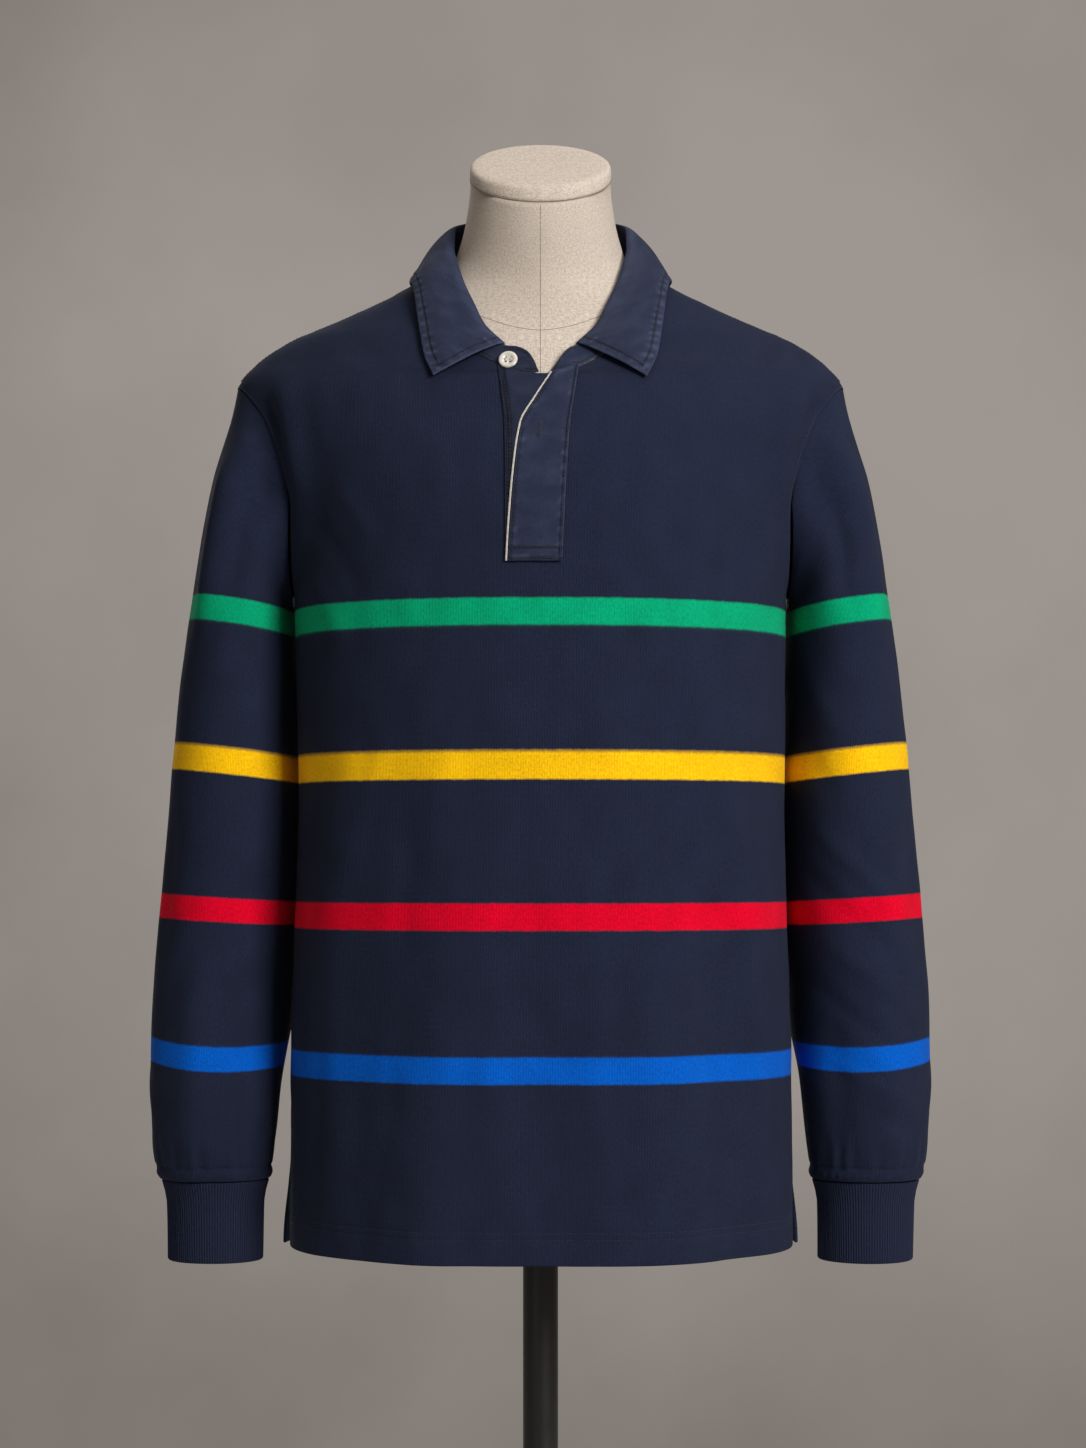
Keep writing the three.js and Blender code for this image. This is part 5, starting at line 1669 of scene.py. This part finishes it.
def form_neck_cap(material):
    profile = [
        (0.95, 0), (0.985, 0.1), (1, 0.8), (1.005, 2.5), (1.004, 5), (1, 7.6), (0.995, 9),
        (0.982, 10.2), (0.96, 11), (0.925, 11.5), (0.85, 11.8), (0.7, 12), (0.5, 12.1),
        (0.3, 12.2), (0.1, 12.2),
    ]
    angle = np.linspace(0, 2 * np.pi, ROUND_SIDES, endpoint=False)
    rings = []
    for size, rise in profile:
        x = CAP_HALF_WIDTH * size * np.sin(angle)
        y = -CAP_HALF_DEPTH * size * np.cos(angle)
        rings.append(stack(x, y - CAP_FORWARD, CAP_HEIGHT - CAP_THICKNESS + CAP_TILT * y + rise))
    rings = np.stack(rings)
    points, faces = closed_rings(rings)
    piece = mesh_object("form_neck_cap_linen", points, faces, material)
    flat = np.stack([points[:, 0], points[:, 1] * 1.14, points[:, 2]], axis=-1)
    set_attribute(piece, "cloth", flat)
    recalculate(piece)
    return piece, rings


def form_seams(cap_rings, material):
    """Fine dark seams of the form's cover: centre front and back, neck base and under the cap."""
    parts = []
    heights = np.linspace(FORM_BOTTOM + 3, 1480, 240)
    for angle in (0, np.pi):
        line = form_ring(np.full_like(heights, angle), heights)
        sign = -1 if angle == 0 else 1
        normal = np.stack([0 * heights, 0 * heights + sign, 0 * heights], axis=-1)
        parts.append(tube(line - normal * 0.1, normal, 0.28))
    turns = np.linspace(0, 2 * np.pi, 160, endpoint=False)
    aside = np.sin(turns) ** 2
    base_line = form_ring(turns, 1388 + 26 * aside / (0.2 + aside))
    outward = unit(base_line * np.array([1, 1, 0]))
    parts.append(tube(base_line - outward * 0.1, outward, 0.28, closed=True))
    lowest = cap_rings[1]
    outward = unit(lowest - lowest.mean(axis=0))
    parts.append(tube(lowest + outward * 0.6, outward, 0.5, closed=True))
    points, faces = joined(parts)
    piece = mesh_object("form_seam_cords", points, faces, material)
    set_attribute(piece, "cloth", np.stack([points[:, 0], points[:, 2], points[:, 1]], axis=-1))
    recalculate(piece)
    return piece


def pole_and_base(material):
    bore = POLE_RADIUS + SEAM_GAP
    low = FORM_BOTTOM - SEAM_GAP - SOCKET_HEIGHT
    high = FORM_BOTTOM - SEAM_GAP
    foot = BASE_THICKNESS + SEAM_GAP
    flange_top = BASE_THICKNESS + FLANGE_HEIGHT
    socket = [
        (bore, low), (SOCKET_RADIUS - 6, low), (SOCKET_RADIUS, low + 5), (SOCKET_RADIUS, high),
        (bore, high),
    ]
    flange = [
        (bore, foot), (FLANGE_RADIUS, foot), (FLANGE_RADIUS, foot + 4), (FLANGE_RADIUS - 12, foot + 7),
        (FLANGE_RADIUS - 14, flange_top), (bore, flange_top),
    ]
    pole = [(0, foot), (POLE_RADIUS, foot), (POLE_RADIUS, high), (0, high)]
    base = [
        (0, 0), (BASE_RADIUS, 0), (BASE_RADIUS, BASE_THICKNESS - 4),
        (BASE_RADIUS - 4, BASE_THICKNESS), (0, BASE_THICKNESS),
    ]
    for name, corners, rounding, node in (
        ("pole_socket_round", socket, 1.5, "pole_socket"),
        ("pole_round", pole, 0.6, "pole"),
        ("pole_flange_round", flange, 1.6, "pole_flange"),
        ("base_round", base, 1.4, "base_plate"),
    ):
        add_piece(turned_object(name, corners, rounding, material), "black_metal", node)


# Button and sewing


def stand_place(side, station, height, outward):
    """Middle and directions (across, up, out) of a place on an end of the stand."""
    stations = STAND_ENDS["right"] + COLLAR_STATIONS
    seam, roll, _ = collar_station(stations, np.array([station / (len(stations) - 1)]))
    base, top, up, out = stand_section(seam, roll)
    centre = lerp(base, top, height) + out * outward
    flip = np.array([1 if side == "left" else -1, 1, 1])
    out = out[0] * flip
    up = up[0] * flip
    return centre[0] * flip, unit(np.cross(up, out)), up, out


def button(material, thread):
    """A dished disc with a wide flat rim, four holes, and thread through them."""
    centre, right, up, out = stand_place("right", BUTTON_STATION, BUTTON_HEIGHT_SHARE, BUTTON_SHANK)
    radius, thick = BUTTON_RADIUS, BUTTON_THICKNESS
    profile = [
        (0.01, 0), (radius - 1.6, 0), (radius - 0.7, 0.35), (radius - 0.15, 1.0), (radius, 1.6),
        (radius - 0.2, 2.3), (radius - 0.7, thick), (radius - 1.4, thick + 0.05), (radius - 2.5, thick),
        (radius - 3.0, thick - 0.3), (radius - 3.4, thick - 0.8), (0.01, thick - 0.9),
    ]
    turns = np.linspace(0, 2 * np.pi, 64, endpoint=False)
    rings = np.stack([stack(r * np.cos(turns), r * np.sin(turns), z) for r, z in profile])
    points, faces = closed_rings(rings)
    piece = mesh_object("neck_button_dished", points, faces, material)
    recalculate(piece)
    spread = BUTTON_HOLE_SPREAD
    for x, y in ((spread, spread), (-spread, spread), (-spread, -spread), (spread, -spread)):
        edge_x = x + BUTTON_HOLE_RADIUS * np.cos(turns[::2])
        edge_y = y + BUTTON_HOLE_RADIUS * np.sin(turns[::2])
        ring = np.stack([stack(edge_x, edge_y, z) for z in (-1.0, 4.0)])
        drill = mesh_object("drill", *closed_rings(ring), material)
        recalculate(drill)
        cut = piece.modifiers.new("hole", "BOOLEAN")
        cut.object = drill
        cut.solver = "EXACT"
        bpy.context.view_layer.objects.active = piece
        bpy.ops.object.modifier_apply(modifier=cut.name)
        bpy.data.objects.remove(drill, do_unlink=True)
    turn = np.stack([right, up, out], axis=1)

    def place(local):
        return local @ turn.T + centre

    coordinates = np.empty(len(piece.data.vertices) * 3)
    piece.data.vertices.foreach_get("co", coordinates)
    placed = place(coordinates.reshape(-1, 3) / MM) * MM
    piece.data.vertices.foreach_set("co", placed.ravel())
    piece.data.update()
    parts = []
    for side in (-1, 1):
        for offset in (-0.32, 0.0, 0.32):
            t = np.linspace(0, 1, 9)
            x = side * spread + offset
            height = thick - 0.95 + 0.75 * np.sin(np.pi * t)
            line = stack(np.full_like(t, x), lerp(-spread, spread, t), height)
            normal = np.tile([1.0, 0, 0], (len(t), 1))
            strand, strand_faces = tube(line, normal, 0.2, 6)
            parts.append((place(strand), strand_faces))
    shank = stack(1.1 * np.cos(turns[::4]), 1.1 * np.sin(turns[::4]), 0)
    rings = np.stack([shank + [0, 0, -BUTTON_SHANK - 0.2], shank + [0, 0, 0.3]])
    shank_points, shank_faces = closed_rings(rings)
    parts.append((place(shank_points), shank_faces))
    points, faces = joined(parts)
    threads = mesh_object("button_thread", points, faces, thread)
    recalculate(threads)
    return piece, threads


def panel_run(side, rows, across, pitch=3.1, sink=0.1):
    """Stitches along a line of a body panel."""
    points, normals, _ = panel_surface(side, np.asarray(rows, float), np.asarray(across, float))
    return spaced(points - normals * sink, normals, pitch)


def across_at(side, rows, distance):
    """Share across a panel that lies a given distance inside its edge."""
    edge = panel_base(side, rows, np.ones_like(rows))
    inside = panel_base(side, rows, np.full_like(rows, 0.97))
    rate = np.linalg.norm(edge - inside, axis=-1) / 0.03
    return 1 - np.minimum(distance / np.maximum(rate, 1), 0.5)


def shirt_runs():
    """Stitch lines of the hem, the vents, the armholes and the shoulder seams."""
    runs = []
    along = np.linspace(-0.985, 0.985, 500)
    armhole_rows = np.linspace(ROW_AT_UNDERARM + 0.3, ROW_AT_SHOULDER - 0.1, 200)
    shoulder_rows = np.linspace(ROW_AT_SHOULDER + 0.1, ROW_AT_NECK - 1.6, 120)
    vent_rows = lower_row(np.linspace(HEM_HEIGHT + 2, HEM_HEIGHT + VENT_HEIGHT, 60))
    for side in ("front", "back"):
        for height in (HEM_BAND, HEM_BAND - 5):
            row = float(lower_row(np.array(HEM_HEIGHT + height)))
            runs.append(panel_run(side, np.full_like(along, row), along))
        for sign in (-1, 1):
            for rows, distance in ((armhole_rows, 3.2), (shoulder_rows, 2.6), (vent_rows, 7.0)):
                across = across_at(side, rows, distance)
                runs.append(panel_run(side, rows, sign * across))
    return runs


def line_on_front(points, out, pitch=2.9):
    """Stitches along a line on the front, given by x and z."""
    xs, zs = zip(*points)
    share = np.linspace(0, 1, len(points))
    fine = np.linspace(0, 1, 160)
    x = np.interp(fine, share, xs)
    z = np.interp(fine, share, zs)
    surface, normal = front_point(x, z, out)
    return spaced(surface, normal, pitch)


def placket_runs():
    """Stitch lines of the two plackets, with the box at the foot."""
    out = TOP_PLACKET_OUT + PLACKET_WALL - 0.1
    zs = np.linspace(TOP_PLACKET["z"][-1] - 4, TOP_PLACKET["z"][0] + 1.8, 60)
    edge = column(TOP_PLACKET, "edge_x", zs)
    sewn = column(TOP_PLACKET, "sewn_x", zs)
    foot = TOP_PLACKET["z"][0] + 1.8
    left, right = edge[-1] + PLACKET_STITCH_IN, sewn[-1] - PLACKET_STITCH_IN
    runs = [
        line_on_front(list(zip(sewn - PLACKET_STITCH_IN, zs)), out),
        line_on_front(list(zip(edge + PLACKET_STITCH_IN, zs)), out),
        line_on_front([(left, foot), (right, foot)], out),
        line_on_front([(left, PLACKET_BOX_TOP), (right, PLACKET_BOX_TOP)], out),
    ]
    under_z = np.linspace(UNDER_PLACKET["z"][-1] - 3, UNDER_PLACKET["z"][0] + 3, 60)
    under_edge = column(UNDER_PLACKET, "edge_x", under_z)
    under_out = UNDER_PLACKET_OUT + PLACKET_WALL + 0.15
    for inside in (2.2, 4.6):
        runs.append(line_on_front(list(zip(under_edge + inside, under_z)), under_out))
    return runs


def grid_line(surface, normal, distance, wanted, rows):
    """Line through a grid at a wanted distance from its edge, over some of its rows."""
    points, normals = [], []
    for column_index in range(surface.shape[1]):
        values = distance[rows, column_index]
        below = np.nonzero((values[:-1] >= wanted) & (values[1:] < wanted))[0]
        if len(below) == 0:
            continue
        i = below[-1]
        share = (values[i] - wanted) / (values[i] - values[i + 1])
        line = surface[rows, column_index]
        points.append(lerp(line[i], line[i + 1], share))
        normals.append(normal[rows, column_index][i])
    return np.array(points), np.array(normals)


def leaf_runs(surface, normal):
    """Stitches round the leaf, a little inside its ends and its outer edge."""
    runs = []
    depth = length_along(surface, 0)
    from_edge = depth[-1:] - depth
    points, normals = grid_line(surface, normal, from_edge, LEAF_STITCH_IN, slice(0, None))
    steps = np.linalg.norm(np.diff(points, axis=0), axis=-1)
    reached = np.concatenate([[0], np.cumsum(steps)])
    keep = (reached > LEAF_STITCH_IN) & (reached < reached[-1] - LEAF_STITCH_IN)
    runs.append(spaced(points[keep], normals[keep], 2.7))
    across, _ = grid_cloth(surface)
    for end in (0, -1):
        from_end = np.abs(across - across[:, end][:, None])
        line, out = [], []
        for row in range(surface.shape[0]):
            if not 13 < depth[row, end] < depth[-1, end] - LEAF_STITCH_IN:
                continue
            index = int(np.argmin(np.abs(from_end[row] - LEAF_STITCH_IN)))
            line.append(surface[row, index])
            out.append(normal[row, index])
        runs.append(spaced(np.array(line), np.array(out), 2.7))
    return runs


def stand_runs(surface, normal, distance):
    """Stitches along the foot and the rounded ends of the stand."""
    runs = []
    half = surface.shape[1] // 2
    for columns in (slice(0, half), slice(half, None)):
        for rows in (slice(7, None), slice(7, None, -1)):
            points, normals = grid_line(
                surface[:, columns], normal[:, columns], distance[:, columns], STAND_STITCH_IN, rows
            )
            if len(points) > 4:
                runs.append(spaced(points, normals, 2.5))
    return runs


def buttonhole(start, end, out, across_size=1.5):
    """Satin stitches round a slit, from places on the front."""
    start, end = np.array(start, float), np.array(end, float)
    along = (end - start) / np.linalg.norm(end - start)
    side = np.array([-along[1], along[0]])
    length = np.linalg.norm(end - start)
    centres, directions, normals = [], [], []
    for step in np.arange(0.3, length, 0.42):
        for sign in (-1, 1):
            place = start + along * step + side * sign * across_size * 0.5
            points, normal = front_point(np.array([place[0], place[0] + side[0]]),
                                         np.array([place[1], place[1] + side[1]]), out)
            centres.append(points[0])
            directions.append(unit(points[1] - points[0]))
            normals.append(normal[0])
    return np.array(centres), np.array(directions), np.array(normals)


def stand_buttonhole():
    """Satin stitches round the short slit on the wearer's left end of the stand."""
    centre, right, up, out = stand_place("left", BUTTON_STATION, BUTTON_HEIGHT_SHARE, 0.1)
    centres, directions, normals = [], [], []
    for step in np.arange(-5.5, 5.5, 0.42):
        for sign in (-1, 1):
            centres.append(centre + right * step + up * sign * 0.55)
            directions.append(up)
            normals.append(out)
    return np.array(centres), np.array(directions), np.array(normals)


def buttonhole_slit_shade(material):
    """The slits of the two buttonholes as near-black cords: painted shade inside the openings."""
    start, end = BUTTONHOLE
    line, normal = front_point(*np.array([start, end]).T, TOP_PLACKET_OUT + PLACKET_WALL + 0.1)
    share = np.linspace(0.04, 0.96, 12)[:, None]
    parts = [tube(lerp(line[0], line[1], share), np.repeat(normal[:1], 12, axis=0), 0.28, 6)]
    centre, right, _, out = stand_place("left", BUTTON_STATION, BUTTON_HEIGHT_SHARE, 0.2)
    parts.append(tube(centre + right * lerp(-5.2, 5.2, share), np.repeat(out[None], 12, axis=0), 0.28, 6))
    points, faces = joined(parts)
    piece = mesh_object("buttonhole_slit_shade", points, faces, material)
    recalculate(piece)
    return piece


# Light, floor and world


def backdrop():
    """A grey studio wall all round, with a painted pool of light behind the shirt that falls off to painted
    shade away from it, and faint uneven patches.
    """
    world = bpy.data.worlds.new("studio")
    world.use_nodes = True
    tree = world.node_tree

    def node(kind, **settings):
        made = tree.nodes.new(kind)
        for key, value in settings.items():
            setattr(made, key, value)
        return made

    place = node("ShaderNodeTexCoord").outputs["Generated"]
    # Painted pool of light: the wall is lighter towards the direction behind the shirt.
    toward = node("ShaderNodeVectorMath", operation="DOT_PRODUCT")
    toward.inputs[1].default_value = (0.045, 0.994, 0.1)
    glow = node("ShaderNodeMapRange", interpolation_type="SMOOTHSTEP")
    glow.inputs["From Min"].default_value = 0.935
    glow.inputs["From Max"].default_value = 1.008
    glow.inputs["To Max"].default_value = 0.7
    patches = node("ShaderNodeTexNoise")
    patches.inputs["Scale"].default_value = 9.0
    patches.inputs["Detail"].default_value = 5.0
    uneven = node("ShaderNodeMath", operation="MULTIPLY_ADD")
    uneven.inputs[1].default_value = 0.6
    mixed = node("ShaderNodeMix", data_type="RGBA")
    mixed.inputs[6].default_value = linear("studio_painted_shade")
    mixed.inputs[7].default_value = linear("studio")
    tree.links.new(place, toward.inputs[0])
    tree.links.new(place, patches.inputs["Vector"])
    tree.links.new(toward.outputs["Value"], glow.inputs["Value"])
    tree.links.new(patches.outputs["Fac"], uneven.inputs[0])
    tree.links.new(glow.outputs[0], uneven.inputs[2])
    tree.links.new(uneven.outputs[0], mixed.inputs[0])
    tree.links.new(mixed.outputs[2], tree.nodes["Background"].inputs["Color"])
    return world


def studio():
    scene = bpy.context.scene
    scene.view_settings.view_transform = "Standard"
    scene.view_settings.look = "None"
    scene.world = backdrop()
    for name, place, size, power in (
        ("key", (1.75, -2.45, 2.3), 1.2, 98),
        ("fill", (-1.6, -2.6, 1.2), 1.6, 3),
        ("top", (0.3, -0.1, 3.0), 1.4, 13),
        ("rear", (-0.6, 2.7, 2.0), 2.0, 46),
    ):
        light = bpy.data.lights.new(name, "AREA")
        light.size = size
        light.energy = power
        lamp = new_object(name, light)
        lamp.location = place
        aim = np.array([0, 0, 1.05]) - np.array(place)
        yaw = math.atan2(aim[1], aim[0]) - math.pi / 2
        pitch = math.atan2(aim[2], math.hypot(aim[0], aim[1])) + math.pi / 2
        lamp.rotation_euler = (pitch, 0, yaw)
    floor = turned_object("floor", [(0, -4), (2600, -4), (2600, -0.5), (0, -0.5)], 2, floor_finish(), 96)


def camera():
    data = bpy.data.cameras.new("camera")
    data.lens = CAMERA_LENS
    data.sensor_width = 36
    data.clip_end = 50
    viewer = new_object("camera", data)
    data.shift_y = CAMERA_SHIFT_UP
    viewer.location = CAMERA_PLACE
    viewer.rotation_euler = (math.radians(90), 0, 0)
    bpy.context.scene.camera = viewer


def shirt(finishes):
    """All pieces of cloth, each in place of its CAD node."""
    for side in ("front", "back"):
        panel = add_piece(body_panel(side, finishes["jersey"]), "jersey", f"{side}_panel")
    for side, mirror in (("left", 1), ("right", -1)):
        tube_piece = add_piece(sleeve(side, mirror, finishes["jersey"]), "jersey", f"{side}_sleeve")
        band = add_piece(cuff(side, mirror, finishes["rib_knit"]), "rib_knit", f"{side}_cuff")
    leaf, leaf_surface, leaf_normal = collar_leaf(finishes["twill"])
    add_piece(leaf, "twill", "collar_leaf")
    stand, stand_surface, stand_normal, stand_distance = collar_stand(finishes["twill"])
    add_piece(stand, "twill", "collar_stand")
    under, top, edge = placket(finishes["twill"], finishes["tape"])
    add_piece(under, "twill", "under_placket")
    add_piece(top, "twill", "top_placket")
    add_piece(edge, "tape", "placket_tape")
    sewing = stitches("shirt_stitching", shirt_runs(), finishes["navy_thread"])
    add_piece(sewing, "jersey")
    twill_runs = placket_runs() + leaf_runs(leaf_surface, leaf_normal)
    twill_runs += stand_runs(stand_surface, stand_normal, stand_distance)
    add_piece(stitches("twill_stitching", twill_runs, finishes["navy_thread"]), "twill")
    holes = [buttonhole(*BUTTONHOLE, TOP_PLACKET_OUT + PLACKET_WALL), stand_buttonhole()]
    add_piece(stitches("buttonhole_stitching", holes, finishes["hole_thread"], 1.1, 0.5, 0.3), "twill")
    add_piece(buttonhole_slit_shade(finishes["slit"]), "twill")


def main():
    camera()
    studio()
    finishes = {
        "jersey": jersey_finish(),
        "rib_knit": rib_finish(),
        "twill": twill_finish(),
        "tape": tape_finish(),
        "button": button_finish(),
        "linen": linen_finish(),
        "black_metal": metal_finish(),
        "navy_thread": thread_finish("navy_thread", "navy_thread"),
        "hole_thread": thread_finish("hole_thread", "twill"),
        "slit": thread_finish("slit", "slit"),
        "seam_thread": thread_finish("seam_thread", "linen_seam"),
        "ivory_thread": thread_finish("ivory_thread", "tape"),
    }
    shirt(finishes)
    disc, threads = button(finishes["button"], finishes["ivory_thread"])
    add_piece(disc, "button", "neck_button")
    add_piece(threads, "tape")
    add_piece(form_torso(finishes["linen"]), "linen", "form_torso")
    cap, cap_rings = form_neck_cap(finishes["linen"])
    add_piece(cap, "linen", "form_neck_cap")
    add_piece(form_seams(cap_rings, finishes["seam_thread"]), "linen")
    pole_and_base(finishes["black_metal"])


main()
